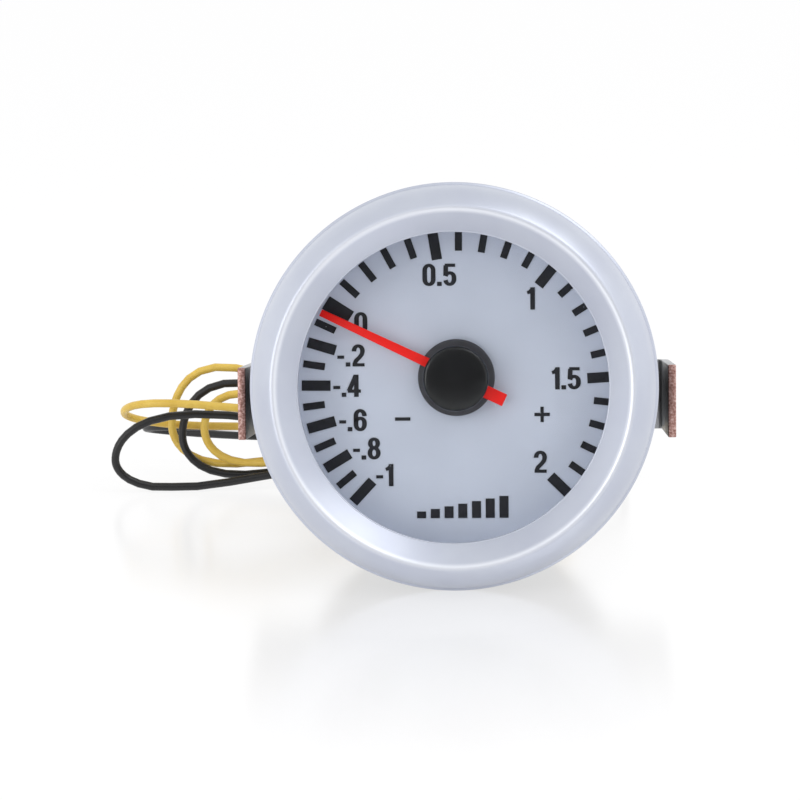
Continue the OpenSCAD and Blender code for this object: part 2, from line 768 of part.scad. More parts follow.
module pointer() {
    tip_chamfer = 0.15;
    color("red") stand() put(pivot, blade_z) rotate(blade_angle) difference() {
        linear_extrude(blade_t) polygon([
            [-tail_len, -tail_w / 2 + tip_chamfer], [-tail_len + tip_chamfer, -tail_w / 2],
            [-hub_cap_d / 4, -tail_w / 2], [0, -blade_root_w / 2 - blade_side],
            [blade_len - tip_chamfer, -blade_tip_w / 2 - blade_side],
            [blade_len, -blade_tip_w / 2 + tip_chamfer - blade_side],
            [blade_len, blade_tip_w / 2 - tip_chamfer - blade_side],
            [blade_len - tip_chamfer, blade_tip_w / 2 - blade_side],
            [0, blade_root_w / 2 - blade_side], [-hub_cap_d / 4, tail_w / 2],
            [-tail_len + tip_chamfer, tail_w / 2], [-tail_len, tail_w / 2 - tip_chamfer]]);
        translate([0, 0, -over]) cylinder(r = pivot_r + slip / 2, h = blade_t + 2 * over);
    }
}

module hub_cap() {
    edge = 0.9;
    dome = 0.25;
    slot = tail_w + 2 * slip;
    steps = 5;
    top_r = hub_cap_d / 2 - edge;
    color([0.05, 0.05, 0.05]) stand() put(pivot, blade_z) difference() {
        rotate_extrude() polygon(concat(
            [[0, 0], [hub_cap_d / 2, 0]],
            [for (i = [0:steps]) let (a = 90 * i / steps)
                [top_r + edge * cos(a), hub_cap_h - dome - edge + edge * sin(a)]],
            [[top_r / 2, hub_cap_h - dome / 4], [0, hub_cap_h]]));
        rotate(blade_angle) translate([-hub_cap_d / 2 - over, -slot / 2, -over])
            cube([hub_cap_d + 2 * over, slot, blade_t + slip + over]);
        translate([0, 0, -over]) cylinder(r = pivot_r + slip / 2, h = arbor_in_cap + slip + over);
    }
}

module lamp_bulb() {
    color([1, 0.95, 0.8, 0.5]) stand() put([0, lamp_rise], case_back_z + bulb_foot) {
        cylinder(r = bulb_r, h = bulb_top_z - case_back_z - bulb_foot);
        translate([0, 0, bulb_top_z - case_back_z - bulb_foot]) sphere(r = bulb_r);
    }
}

module lamp_holder() {
    color([0.1, 0.1, 0.1]) stand() put([0, lamp_rise], 0) difference() {
        union() {
            translate([0, 0, case_back_z - lamp_flange_t]) cylinder(r = lamp_flange_r, h = lamp_flange_t);
            translate([0, 0, case_back_z - slip]) cylinder(r = lamp_r, h = case_back_t + lamp_inside + slip);
            translate([0, 0, case_back_z - lamp_flange_t - lamp_tail_h])
                cylinder(r = lamp_tail_r, h = lamp_tail_h + slip);
            translate([0, 0, lamp_boot_z]) cylinder(r1 = lamp_boot_r, r2 = lamp_tail_r, h = lamp_boot_h);
        }
        translate([0, 0, case_back_z + bulb_foot - slip])
            cylinder(r = bulb_r + slip, h = case_back_t + lamp_inside + over);
    }
}

module bracket_studs() {
    color("silver") stand() at_studs() {
        put([0, 0], case_back_z - stud_len) cylinder(r = stud_r, h = stud_len + case_back_t + slip);
        put([0, 0], case_floor_z) cylinder(r = stud_head_r, h = stud_head_t);
    }
}

// Rounded U section across the bracket, open towards the front.
module u_section(half, low, high, r) {
    translate([-half, low + r]) square([2 * half, high - low - r]);
    translate([-half + r, low]) square([2 * (half - r), r + slip]);
    for (side = [-1, 1]) translate([side * (half - r), low + r]) circle(r = r);
}

module bracket() {
    half = bracket_w / 2;
    leg_end_z = plate_back_z + leg_len;
    color("silver") stand() difference() {
        union() {
            translate([0, port[1] - strip_w / 2, 0]) rotate([-90, 0, 0]) mirror([0, 1, 0])
                linear_extrude(strip_w) difference() {
                    u_section(half, plate_back_z, leg_end_z, bend_r + strip_t);
                    u_section(half - strip_t, case_back_z, leg_end_z + over, bend_r);
                }
            put(port, plate_back_z) cylinder(r = boss_r, h = strip_t);
        }
        put(port, plate_back_z - over) cylinder(r = stem_r + 4 * slip, h = strip_t + 2 * over);
        at_studs(plate_back_z - over) cylinder(r = stud_r + 3 * slip, h = strip_t + 2 * over);
    }
}

module spring_washers() {
    color("silver") stand() at_studs(washer_z) difference() {
        ring(washer_r, stud_r + 2 * slip, washer_t);
        rotate(45) translate([0, -washer_split / 2, -over])
            cube([washer_r + over, washer_split, washer_t + 2 * over]);
    }
}

module knurled_nuts() {
    color("silver") stand() at_studs(nut_z) difference() {
        union() {
            cylinder(r = nut_r, h = nut_h - nut_neck_h);
            cylinder(r = nut_neck_r, h = nut_h);
        }
        translate([0, 0, -over]) cylinder(r = stud_r + slip, h = nut_h + 2 * over);
    }
}

module port_seal() {
    color("chocolate") stand() put(port, seal_z) ring(seal_r, stem_r + slip, seal_t);
}

module hose_nipple() {
    color("gold") stand() put(port) difference() {
        union() {
            put([0, 0], hex_z) cylinder(d = hex_w / cos(30), h = hex_h, $fn = 6);
            put([0, 0], nipple_end_z + nipple_bevel)
                cylinder(r = nipple_r, h = nipple_len - nipple_bevel + slip);
            put([0, 0], nipple_end_z)
                cylinder(r1 = nipple_r - nipple_bevel, r2 = nipple_r, h = nipple_bevel);
        }
        put([0, 0], hex_z + hex_web_t) cylinder(r = stem_r + slip, h = hex_h + over);
        put([0, 0], nipple_end_z - over) cylinder(r = passage_r, h = nipple_len + hex_web_t + 2 * over);
    }
}

function unit(v) = v / norm(v);

// Place in the table's frame of a point along the gauge axis.
function on_table(p) = [p[0], p[1] * sin(lean) - p[2] * cos(lean) - y_mid,
    p[1] * cos(lean) + p[2] * sin(lean) + axis_h];

// Ring of points round a path, square to it. A lead that lies on the table is flat there.
function path_ring(path, i, r, sides) =
    let (way = unit(path[min(i + 1, len(path) - 1)] - path[max(i - 1, 0)]),
        across = unit(cross(way, sweep_ref)), up = cross(across, way))
    [for (k = [0:sides - 1])
        let (turn = 360 * k / sides, q = path[i] + r * (cos(turn) * across + sin(turn) * up))
        [q[0], q[1], max(q[2], 0)]];

// Solid tube along a path, closed at both ends, with triangles for faces.
module sweep(path, r, sides) {
    last = (len(path) - 1) * sides;
    polyhedron(
        points = [for (i = [0:len(path) - 1]) each path_ring(path, i, r, sides)],
        faces = concat(
            [for (k = [1:sides - 2]) [0, k, k + 1]],
            [for (k = [1:sides - 2]) [last, last + k + 1, last + k]],
            [for (i = [0:len(path) - 2], k = [0:sides - 1]) let (a = i * sides, b = (k + 1) % sides)
                each [[a + k, a + sides + k, a + sides + b], [a + k, a + sides + b, a + b]]]));
}

// Point of a wound lead at a turn u in degrees: at the waist in a slot, at a loop's end in its place there.
function hank_point(u, high, low, left, left_tilt, right, right_tilt) =
    let (k = floor((u - hank_start) / 360), part = u - hank_start - 360 * k, is_left = part <= 180,
        loop = is_left ? left[k] : right[k], tilt = is_left ? left_tilt[k] : right_tilt[k],
        slot = part < 90 ? high[k] : part < 270 ? low[k] : high[min(k + 1, len(high) - 1)],
        swell = swell_scale * (sin(u) > 0 ? loop[3] : loop[4]) * pow(cos(u), 2) * sin(u),
        side = slot * pow(sin(u), 2) + [loop[1], loop[2]] * pow(cos(u), 2) + swell * [cos(tilt), sin(tilt)])
    [loop[0] * cos(u) - waist_left, hank_front + side[0], side[1]];

// Rings crowd together at the ends of the loops, where the lead bends most.
function hank_path(rings, high, low, left, left_tilt, right, right_tilt) =
    let (count = round((hank_end - hank_start) / 360 * rings))
    [for (i = [0:count])
        let (v = hank_start + (hank_end - hank_start) * i / count, u = v - ring_crowd * sin(2 * v))
        hank_point(max(hank_start, u), high, low, left, left_tilt, right, right_tilt)];

function yellow_path(rings) = hank_path(rings, yellow_high, yellow_low, yellow_left, yellow_left_tilt,
    yellow_right, yellow_right_tilt);
function black_path(rings) = hank_path(rings, black_high, black_low, black_left, black_left_tilt,
    black_right, black_right_tilt);

// Least gap of a wound lead to itself, between points that are a sixth of a loop or more apart.
function least_gap(path) = min([for (i = [0:len(path) - 1], j = [i + gap_rings / 6:len(path) - 1])
    norm(path[i] - path[j])]) - lead_d;

// Smooth way through a list of points.
function way_point(w, i, t) =
    let (a = w[max(i - 1, 0)], b = w[i], c = w[i + 1], d = w[min(i + 2, len(w) - 1)])
    0.5 * (2 * b + (c - a) * t + (2 * a - 5 * b + 4 * c - d) * t * t + (3 * b - a - 3 * c + d) * t * t * t);
function smooth_way(w) = concat(
    [for (i = [0:len(w) - 2], k = [0:way_steps - 1]) way_point(w, i, k / way_steps)], [w[len(w) - 1]]);

// Whole way of a lead from its exit at x to its first slot at the waist.
function lead_way(x, way, slot) = smooth_way(concat(
    [on_table([x, lamp_rise, lamp_boot_z - slip]), on_table([x, lamp_rise, lamp_boot_z - exit_run])],
    [for (p = way) p + [0, hank_front, 0]],
    [[slip - waist_left, hank_front + slot[0], slot[1]]]));

module yellow_lead() {
    color("gold") sweep(lead_way(lead_pitch / 2, yellow_way, yellow_high[0]), lead_r, 8);
}

module black_lead() {
    color([0.1, 0.1, 0.1]) sweep(lead_way(-lead_pitch / 2, black_way, black_high[0]), lead_r, 8);
}

module yellow_hank() {
    echo("least gap of the yellow lead to itself", least_gap(yellow_path(gap_rings)));
    color("gold") sweep(yellow_path(hank_rings), lead_r, 6);
}

module black_hank() {
    echo("least gap of the black lead to itself", least_gap(black_path(gap_rings)));
    color([0.1, 0.1, 0.1]) sweep(black_path(hank_rings), lead_r, 6);
}

// Outline round all the slots at the waist, at a distance from the leads.
module waist_outline(margin) {
    hull() for (slot = concat(yellow_high, yellow_low, black_high, black_low))
        translate([hank_front + slot[0], slot[1]]) circle(r = lead_r + margin, $fn = 24);
}

module lead_tie() {
    color([0.15, 0.15, 0.15]) translate([-waist_left - tie_w / 2, 0, 0]) rotate([90, 0, 90])
        linear_extrude(tie_w) difference() {
            waist_outline(2 * slip + tie_t);
            waist_outline(2 * slip);
        }
}

// Bare strands on the end of a wound lead.
module bare_tip(path) {
    end = path[len(path) - 1];
    way = unit(end - path[len(path) - 2]);
    sweep([end + slip * way, end + tip_len * way], tip_d / 2, 8);
}

module yellow_tip() {
    color("silver") bare_tip(yellow_path(hank_rings));
}

module black_tip() {
    color("silver") bare_tip(black_path(hank_rings));
}

case();
light_cup();
socket_block();
back_screws();
bourdon_tube();
tube_tip();
rear_plate();
block_screws();
plate_pillars();
sector_gear();
link();
pinion_arbor();
spring_collet();
hairspring();
spring_stud();
front_plate();
pillar_screws();
dial_plate();
scale_print();
hub_disc();
pointer();
hub_cap();
spacer_ring();
lens_gasket();
lens();
bezel();
lamp_bulb();
lamp_holder();
bracket_studs();
bracket();
spring_washers();
knurled_nuts();
port_seal();
hose_nipple();
yellow_lead();
black_lead();
yellow_hank();
black_hank();
lead_tie();
yellow_tip();
black_tip();
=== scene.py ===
import json
import math

import bmesh
import bpy
from mathutils import Matrix, Vector


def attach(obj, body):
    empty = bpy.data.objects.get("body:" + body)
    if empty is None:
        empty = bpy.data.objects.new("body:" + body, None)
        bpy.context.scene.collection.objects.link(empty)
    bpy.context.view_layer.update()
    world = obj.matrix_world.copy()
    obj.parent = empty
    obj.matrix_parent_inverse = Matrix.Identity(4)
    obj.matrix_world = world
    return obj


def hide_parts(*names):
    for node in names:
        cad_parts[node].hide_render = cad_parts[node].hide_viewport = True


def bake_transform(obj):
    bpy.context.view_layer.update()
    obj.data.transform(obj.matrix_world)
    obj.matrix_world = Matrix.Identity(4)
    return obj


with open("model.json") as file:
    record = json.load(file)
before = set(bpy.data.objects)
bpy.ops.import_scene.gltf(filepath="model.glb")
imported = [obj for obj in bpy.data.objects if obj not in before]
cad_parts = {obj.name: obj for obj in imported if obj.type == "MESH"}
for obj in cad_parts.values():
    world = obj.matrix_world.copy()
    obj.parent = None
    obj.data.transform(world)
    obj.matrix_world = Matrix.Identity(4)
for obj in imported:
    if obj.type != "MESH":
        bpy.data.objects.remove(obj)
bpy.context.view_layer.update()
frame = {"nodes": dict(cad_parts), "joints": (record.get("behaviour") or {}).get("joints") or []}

# Case. A deep-drawn steel cup that passes through the panel, painted satin black inside and out.
# All sizes below are in millimetres along the gauge's own axis: x to the right, z out of the face
# and 0 on the bezel's rear seat. The pointer's joint says where that axis lies.
MM = 0.001
pivot = (0.3, 1.2)
dial_z = -4.7
case_r = 25.8
slip = 0.05
same_place = 0.002
flat_degrees = 0.5

spin = next(joint for joint in frame["joints"] if joint["name"] == "pointer_spin")
face_out = Vector(spin["axis"]).normalized()
face_right = Vector((1, 0, 0))
face_up = face_out.cross(face_right)
lean = math.asin(face_out.z)
to_pivot = face_right * pivot[0] + face_up * pivot[1] + face_out * dial_z
gauge_origin = Vector(spin["pos_m"]) - to_pivot * MM
gauge_turn = Matrix((face_right, face_up, face_out)).transposed().to_4x4()
gauge = Matrix.Translation(gauge_origin) @ gauge_turn @ Matrix.Scale(MM, 4)


def linear(hex_colour):
    """Scene-linear colour of an sRGB hex value."""
    parts = [int(hex_colour[i:i + 2], 16) / 255 for i in (1, 3, 5)]
    return [c / 12.92 if c <= 0.04045 else ((c + 0.055) / 1.055) ** 2.4 for c in parts] + [1]


def add(tree, kind, inputs=None, stops=(), **settings):
    """A node with its settings, its ramp's colours, and its linked sockets or plain values."""
    made = tree.nodes.new(kind)
    for name, value in settings.items():
        setattr(made, name, value)
    for i, (position, colour) in enumerate(stops):
        stop = made.color_ramp.elements[i] if i < 2 else made.color_ramp.elements.new(position)
        stop.position = position
        stop.color = linear(colour)
    for name, value in (inputs or {}).items():
        if isinstance(value, bpy.types.Node):
            value = value.outputs[0]
        if isinstance(value, bpy.types.NodeSocket):
            tree.links.new(value, made.inputs[name])
        else:
            made.inputs[name].default_value = value
    return made


def start_finish(name):
    """A new material's tree, and its coordinates in mm along the gauge's axis."""
    material = bpy.data.materials.new(name)
    material.use_nodes = True
    tree = material.node_tree
    tree.nodes.clear()
    place = add(tree, "ShaderNodeTexCoord").outputs["Object"]
    along = add(tree, "ShaderNodeMapping", {
        "Vector": place, "Location": gauge_origin, "Rotation": (math.pi / 2 - lean, 0, 0),
        "Scale": (MM, MM, MM)}, vector_type="TEXTURE")
    return material, tree, along


def finish(name, colours, patch, sheen, gloss, relief=None, more=None):
    """A finish with patches of colour, an uneven gloss and a fine relief.

    patch, sheen and relief give the grain in mm and the detail of what varies, and relief its depth
    in mm too. gloss is the lowest and the highest roughness, and more the shader's other settings.
    """
    material, tree, along = start_finish(name)
    grains = [add(tree, "ShaderNodeTexNoise", {
        "Vector": along, "Scale": 1 / grain[0], "Detail": grain[1]})
        for grain in (patch, sheen, relief) if grain]
    settings = {
        "Base Color": add(tree, "ShaderNodeValToRGB", {"Fac": grains[0]}, colours),
        "Roughness": add(tree, "ShaderNodeMapRange", {
            "Value": grains[1], "To Min": gloss[0], "To Max": gloss[1]}),
        **(more or {})}
    if relief:
        settings["Normal"] = add(tree, "ShaderNodeBump", {
            "Height": grains[2], "Distance": relief[2] * MM})
    coat = add(tree, "ShaderNodeBsdfPrincipled", settings)
    add(tree, "ShaderNodeOutputMaterial", {"Surface": coat})
    return material


def new_piece(name, mesh, material):
    """An object at the origin with its finish."""
    made = bpy.data.objects.new(name, mesh)
    bpy.context.scene.collection.objects.link(made)
    mesh.materials.clear()
    mesh.materials.append(material)
    return made


def smooth(mesh, sharp_degrees=35):
    """Smooth shading with an edge where the faces turn sharply."""
    mesh.shade_smooth()
    mesh.set_sharp_from_angle(angle=math.radians(sharp_degrees))


def as_mesh(name, shape):
    """A mesh from a finished bmesh."""
    mesh = bpy.data.meshes.new(name)
    shape.to_mesh(mesh)
    shape.free()
    return mesh


def softened(node, name, material, width_mm, steps=2, sharp_degrees=40):
    """A CAD node's shape with its sharp edges broken, as a tool or a press leaves them."""
    shape = bmesh.new()
    shape.from_mesh(frame["nodes"][node].data)
    bmesh.ops.remove_doubles(shape, verts=shape.verts, dist=same_place * MM)
    bmesh.ops.dissolve_limit(shape, angle_limit=math.radians(flat_degrees), verts=shape.verts,
                             edges=shape.edges)
    made = new_piece(name, as_mesh(name, shape), material)
    edge = made.modifiers.new("edge", "BEVEL")
    edge.width = width_mm * MM
    edge.segments = steps
    edge.limit_method = "ANGLE"
    edge.angle_limit = math.radians(sharp_degrees)
    edge.use_clamp_overlap = True
    in_full = made.evaluated_get(bpy.context.evaluated_depsgraph_get())
    applied = bpy.data.meshes.new_from_object(in_full)
    made.modifiers.clear()
    made.data = applied
    smooth(applied)
    return made


# Stoved paint: nearly black, with the faint orange peel of a sprayed coat.
black_paint = finish("satin_black_paint_on_steel", [(0.35, "#17181a"), (0.7, "#1f2022")],
                     patch=(9, 3.0), sheen=(0.7, 2.0), gloss=(0.34, 0.5), relief=(0.7, 2.0, 0.02))

case = softened("case", "case_shell", black_paint, width_mm=0.12)
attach(case, "gauge")
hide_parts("case")

# Light cup. A matt white liner moulded in polystyrene that stands on the case floor, carries the
# dial on its front edge and spreads the lamp's light behind it.


def coat_node(node, material):
    """Gives a CAD node its finish."""
    for slot in frame["nodes"][node].material_slots:
        slot.material = material


# Plain polystyrene: a slightly uneven soft white, with the faint grain of the mould.
cup_white = finish("moulded_white_polystyrene", [(0.3, "#e2e2de"), (0.7, "#efefec")],
                   patch=(4, 3.0), sheen=(0.3, 3.0), gloss=(0.5, 0.7), relief=(0.2, 3.0, 0.01))
coat_node("light_cup", cup_white)

# Socket block, pressure tube and movement. Turned, stamped and soldered brass: the block with the
# port's stem, the flat coiled tube with its tip block, and the plates, pillars, sector and link.

# Fine turning lines, 14 times closer along the axis than round it, and the warm dull patches of
# handled brass.
brass, tree, along = start_finish("turned_brass")
lines = add(tree, "ShaderNodeMapping", {"Vector": along, "Scale": (1, 1, 14)})
turning = add(tree, "ShaderNodeTexNoise", {"Vector": lines, "Scale": 1 / 1.4, "Detail": 4.0})
patches = add(tree, "ShaderNodeTexNoise", {"Vector": along, "Scale": 1 / 5, "Detail": 5.0})
sheen = add(tree, "ShaderNodeTexNoise", {"Vector": along, "Scale": 1 / 2.5, "Detail": 5.0})
coat = add(tree, "ShaderNodeBsdfPrincipled", {
    "Base Color": add(tree, "ShaderNodeValToRGB", {"Fac": patches}, [
        (0.3, "#c29a4e"), (0.55, "#d3ad62"), (0.8, "#b68d48")]),
    "Metallic": 1.0,
    "Roughness": add(tree, "ShaderNodeMapRange", {"Value": sheen, "To Min": 0.22, "To Max": 0.42}),
    "Normal": add(tree, "ShaderNodeBump", {"Height": turning, "Distance": 0.008 * MM})})
add(tree, "ShaderNodeOutputMaterial", {"Surface": coat})
for node in ("socket_block", "tube_tip", "rear_plate", "front_plate", "plate_pillars",
             "sector_gear", "link", "spring_collet", "spring_stud"):
    coat_node(node, brass)
# The tube opens as its tip swings. Here it is one piece, with its place baked into its shape.
tube = softened("bourdon_tube", "pressure_tube", brass, width_mm=0.15)
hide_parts("bourdon_tube")
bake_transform(tube)

# Hairspring. A flat spiral of drawn phosphor bronze, fixed to a collet on the arbor and to a stud
# on the front plate. It takes up the play of the gears.

# Drawn wire: warm red-gold with a fine sheen, a little duller in places.
bronze = finish("drawn_phosphor_bronze", [(0.3, "#a8703c"), (0.7, "#bd8650")],
                patch=(1.5, 3.0), sheen=(0.4, 3.0), gloss=(0.2, 0.34), more={"Metallic": 1.0})
coat_node("hairspring", bronze)

# Screws, arbor and studs. Nickel-plated steel: small cheese heads in the movement, two low heads on
# the rear wall, the pointer's ground arbor and the two studs that carry the bracket.

# Plating over turned steel: bright, with fine lathe lines and faint fingerprints in the gloss.
nickel = finish("nickel_plated_steel", [(0.3, "#b9b8b4"), (0.7, "#cbcac6")],
                patch=(3, 5.0), sheen=(1.2, 6.0), gloss=(0.16, 0.34),
                relief=(0.12, 2.0, 0.004), more={"Metallic": 1.0})
for node in ("block_screws", "pillar_screws", "pinion_arbor"):
    coat_node(node, nickel)
for node, name in (("back_screws", "rear_wall_screws"), ("bracket_studs", "studs")):
    made = softened(node, name, nickel, width_mm=0.15)
    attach(made, "gauge")
    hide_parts(node)

# Dial. An aluminium disc sprayed with a matt pale blue-grey lacquer, with a few dust specks that
# lie on it inside the closed gauge.
bare_share = 0.62


def dust(tree, along, spacing_mm, size_mm):
    """Round specks from 0 to 1, in the few cells of a random grid that don't stay bare."""
    cells = add(tree, "ShaderNodeTexVoronoi", {"Vector": along, "Scale": 1 / spacing_mm})
    rare = add(tree, "ShaderNodeMath", {0: cells.outputs["Color"], 1: bare_share},
               operation="GREATER_THAN")
    near = add(tree, "ShaderNodeMath", {0: cells.outputs["Distance"], 1: size_mm / spacing_mm / 2},
               operation="LESS_THAN")
    return add(tree, "ShaderNodeMath", {0: rare, 1: near}, operation="MULTIPLY")


# Flat lacquer: pale and cool, hardly glossy, with a fine spray grain and pale specks of dust. The
# grain is drawn at 0.15 mm, a few times coarser than it is, so that it shows.
dial_lacquer, tree, along = start_finish("matt_blue_grey_dial_lacquer")
patches = add(tree, "ShaderNodeTexNoise", {"Vector": along, "Scale": 1 / 11, "Detail": 3.0})
base = add(tree, "ShaderNodeValToRGB", {"Fac": patches}, [(0.3, "#c5cad9"), (0.7, "#ccd1e0")])
specks = dust(tree, along, spacing_mm=2.6, size_mm=0.16)
sheen = add(tree, "ShaderNodeTexNoise", {"Vector": along, "Scale": 1 / 0.5, "Detail": 3.0})
relief = add(tree, "ShaderNodeTexNoise", {"Vector": along, "Scale": 1 / 0.15, "Detail": 2.0})
coat = add(tree, "ShaderNodeBsdfPrincipled", {
    "Base Color": add(tree, "ShaderNodeMix", {"Factor": specks, 6: base, 7: linear("#eceef4")},
                      data_type="RGBA").outputs[2],
    "Roughness": add(tree, "ShaderNodeMapRange", {"Value": sheen, "To Min": 0.5, "To Max": 0.66}),
    "Normal": add(tree, "ShaderNodeBump", {"Height": relief, "Distance": 0.006 * MM})})
add(tree, "ShaderNodeOutputMaterial", {"Surface": coat})
coat_node("dial_plate", dial_lacquer)
coat_node("spacer_ring", dial_lacquer)

# Scale. Marks screen-printed on the dial in matt black ink: one wide block at zero, twenty marks
# to 2 bar going clockwise and ten to a full vacuum the other way, each fifth or second one longer.
print_mid = (0.6, -0.2)
mark_end_r = 23.42
zero_angle = 147.25
press_angle = -9.6
vacuum_angle = 8.0
print_t = 0.1

# Ink is never quite even: it is a little thinner in places, and the dust shows on it.
ink, tree, along = start_finish("matt_black_printing_ink")
specks = dust(tree, along, spacing_mm=1.3, size_mm=0.13)
patches = add(tree, "ShaderNodeTexNoise", {"Vector": along, "Scale": 1 / 1.1, "Detail": 4.0})
base = add(tree, "ShaderNodeValToRGB", {"Fac": patches}, [(0.3, "#0a0a12"), (0.7, "#121220")])
sheen = add(tree, "ShaderNodeTexNoise", {"Vector": along, "Scale": 1 / 0.4, "Detail": 3.0})
coat = add(tree, "ShaderNodeBsdfPrincipled", {
    "Base Color": add(tree, "ShaderNodeMix", {"Factor": specks, 6: base, 7: linear("#a9adb5")},
                      data_type="RGBA").outputs[2],
    "Roughness": add(tree, "ShaderNodeMapRange", {"Value": sheen, "To Min": 0.5, "To Max": 0.7})})
add(tree, "ShaderNodeOutputMaterial", {"Surface": coat})


def new_tree(name, sizes, result):
    """A Geometry Nodes tree with its named inputs and its output, and the sockets of the inputs."""
    tree = bpy.data.node_groups.new(name, "GeometryNodeTree")
    for label, kind in sizes.items():
        tree.interface.new_socket(label, in_out="INPUT", socket_type="NodeSocket" + kind)
    tree.interface.new_socket(result, in_out="OUTPUT", socket_type="NodeSocketGeometry")
    return tree, tree.nodes.new("NodeGroupInput").outputs


marks_tree, given = new_tree("printed_marks", {
    "Count": "Int", "First angle": "Float", "Step angle": "Float", "Long each": "Int",
    "Long length": "Float", "Short length": "Float", "Long width": "Float", "Short width": "Float",
    "End radius": "Float", "Base height": "Float", "Thickness": "Float",
    "Ink": "Material"}, "Marks")
points = add(marks_tree, "GeometryNodePoints", {"Count": given["Count"]})
index = add(marks_tree, "GeometryNodeInputIndex")
turn = add(marks_tree, "ShaderNodeMath", {
    0: index, 1: given["Step angle"], 2: given["First angle"]}, operation="MULTIPLY_ADD")
beyond = add(marks_tree, "ShaderNodeMath", {0: index, 1: 1.0}, operation="ADD")
left_over = add(marks_tree, "ShaderNodeMath", {0: beyond, 1: given["Long each"]},
                operation="MODULO")
is_long = add(marks_tree, "ShaderNodeMath", {0: left_over, 1: 0.5}, operation="LESS_THAN")
length = add(marks_tree, "GeometryNodeSwitch", {
    "Switch": is_long, "False": given["Short length"], "True": given["Long length"]},
    input_type="FLOAT")
width = add(marks_tree, "GeometryNodeSwitch", {
    "Switch": is_long, "False": given["Short width"], "True": given["Long width"]},
    input_type="FLOAT")
middle_r = add(marks_tree, "ShaderNodeMath", {0: length, 1: -0.5, 2: given["End radius"]},
               operation="MULTIPLY_ADD")
cosine = add(marks_tree, "ShaderNodeMath", {0: turn}, operation="COSINE")
sine = add(marks_tree, "ShaderNodeMath", {0: turn}, operation="SINE")
middle = add(marks_tree, "ShaderNodeCombineXYZ", {
    "X": add(marks_tree, "ShaderNodeMath", {0: middle_r, 1: cosine}, operation="MULTIPLY"),
    "Y": add(marks_tree, "ShaderNodeMath", {0: middle_r, 1: sine}, operation="MULTIPLY"),
    "Z": add(marks_tree, "ShaderNodeMath", {0: given["Thickness"], 1: 0.5, 2: given["Base height"]},
             operation="MULTIPLY_ADD")})
laid = add(marks_tree, "GeometryNodeInstanceOnPoints", {
    "Points": add(marks_tree, "GeometryNodeSetPosition", {"Geometry": points, "Position": middle}),
    "Instance": add(marks_tree, "GeometryNodeMeshCube", {"Size": (1, 1, 1)}),
    "Rotation": add(marks_tree, "ShaderNodeCombineXYZ", {"Z": turn}),
    "Scale": add(marks_tree, "ShaderNodeCombineXYZ", {
        "X": length, "Y": width, "Z": given["Thickness"]})})
real = add(marks_tree, "GeometryNodeRealizeInstances", {"Geometry": laid})
inked = add(marks_tree, "GeometryNodeSetMaterial", {"Geometry": real, "Material": given["Ink"]})
add(marks_tree, "NodeGroupOutput", {"Marks": inked})


def grown(tree, settings):
    """Plain mesh that a Geometry Nodes tree makes with these settings."""
    carrier = bpy.data.objects.new("carrier", bpy.data.meshes.new("carrier"))
    bpy.context.scene.collection.objects.link(carrier)
    modifier = carrier.modifiers.new("grown", "NODES")
    modifier.node_group = tree
    for item in tree.interface.items_tree:
        if item.item_type == "SOCKET" and item.in_out == "INPUT" and item.name in settings:
            modifier[item.identifier] = settings[item.name]
    bpy.context.view_layer.update()
    in_full = carrier.evaluated_get(bpy.context.evaluated_depsgraph_get())
    mesh = bpy.data.meshes.new_from_object(in_full)
    bpy.data.objects.remove(carrier)
    return mesh


def joined(meshes):
    """One mesh from several."""
    shape = bmesh.new()
    for mesh in meshes:
        shape.from_mesh(mesh)
    return as_mesh("joined", shape)


mark_sizes = {"Long length": 4.3, "Short length": 3.25, "Long width": 1.55, "Short width": 1.05,
              "End radius": mark_end_r, "Base height": dial_z, "Thickness": print_t, "Ink": ink}
zero_block = {"Count": 1, "First angle": math.radians(zero_angle), "Step angle": 0.0,
              "Long each": 1, "Long width": 2.2}
press_marks = {"Count": 20, "First angle": math.radians(zero_angle + press_angle),
               "Step angle": math.radians(press_angle), "Long each": 5}
vacuum_marks = {"Count": 10, "First angle": math.radians(zero_angle + vacuum_angle),
                "Step angle": math.radians(vacuum_angle), "Long each": 2}
scale_mesh = joined([grown(marks_tree, {**mark_sizes, **marks})
                     for marks in (zero_block, press_marks, vacuum_marks)])
scale_mesh.transform(gauge @ Matrix.Translation((*print_mid, 0)))
scale = new_piece("scale_marks", scale_mesh, ink)
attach(scale, "gauge")
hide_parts("scale_print")

# Numbers and signs. The plain numbers of the scale in narrow heavy figures, a minus on the vacuum
# side, a plus on the pressure side, and a row of rising bars at the foot, in the same black ink.
# Each number is listed with the place of its middle.
figure_h = 3.3
figure_gap = 0.22
stem_half = 0.345
thin_half = 0.24
bend_steps = 18
layer_drop = 0.004
figures = [("0.5", -2.15, 16.42), ("1", 11.36, 12.8), ("1.5", 16.5, 0.9), ("2", 12.66, -11.5),
           ("-1", -10.53, -13.37), ("-.8", -13.19, -9.38), ("-.6", -15.22, -5.12),
           ("-.4", -16.05, 0.02), ("-.2", -15.41, 4.54), ("0", -13.91, 9.33)]


def bend(x, y, rx, ry, from_degrees, to_degrees):
    """Places along an upright oval."""
    turns = [math.radians(from_degrees + (to_degrees - from_degrees) * i / bend_steps)
             for i in range(bend_steps + 1)]
    return [(x + rx * math.cos(a), y + ry * math.sin(a)) for a in turns]


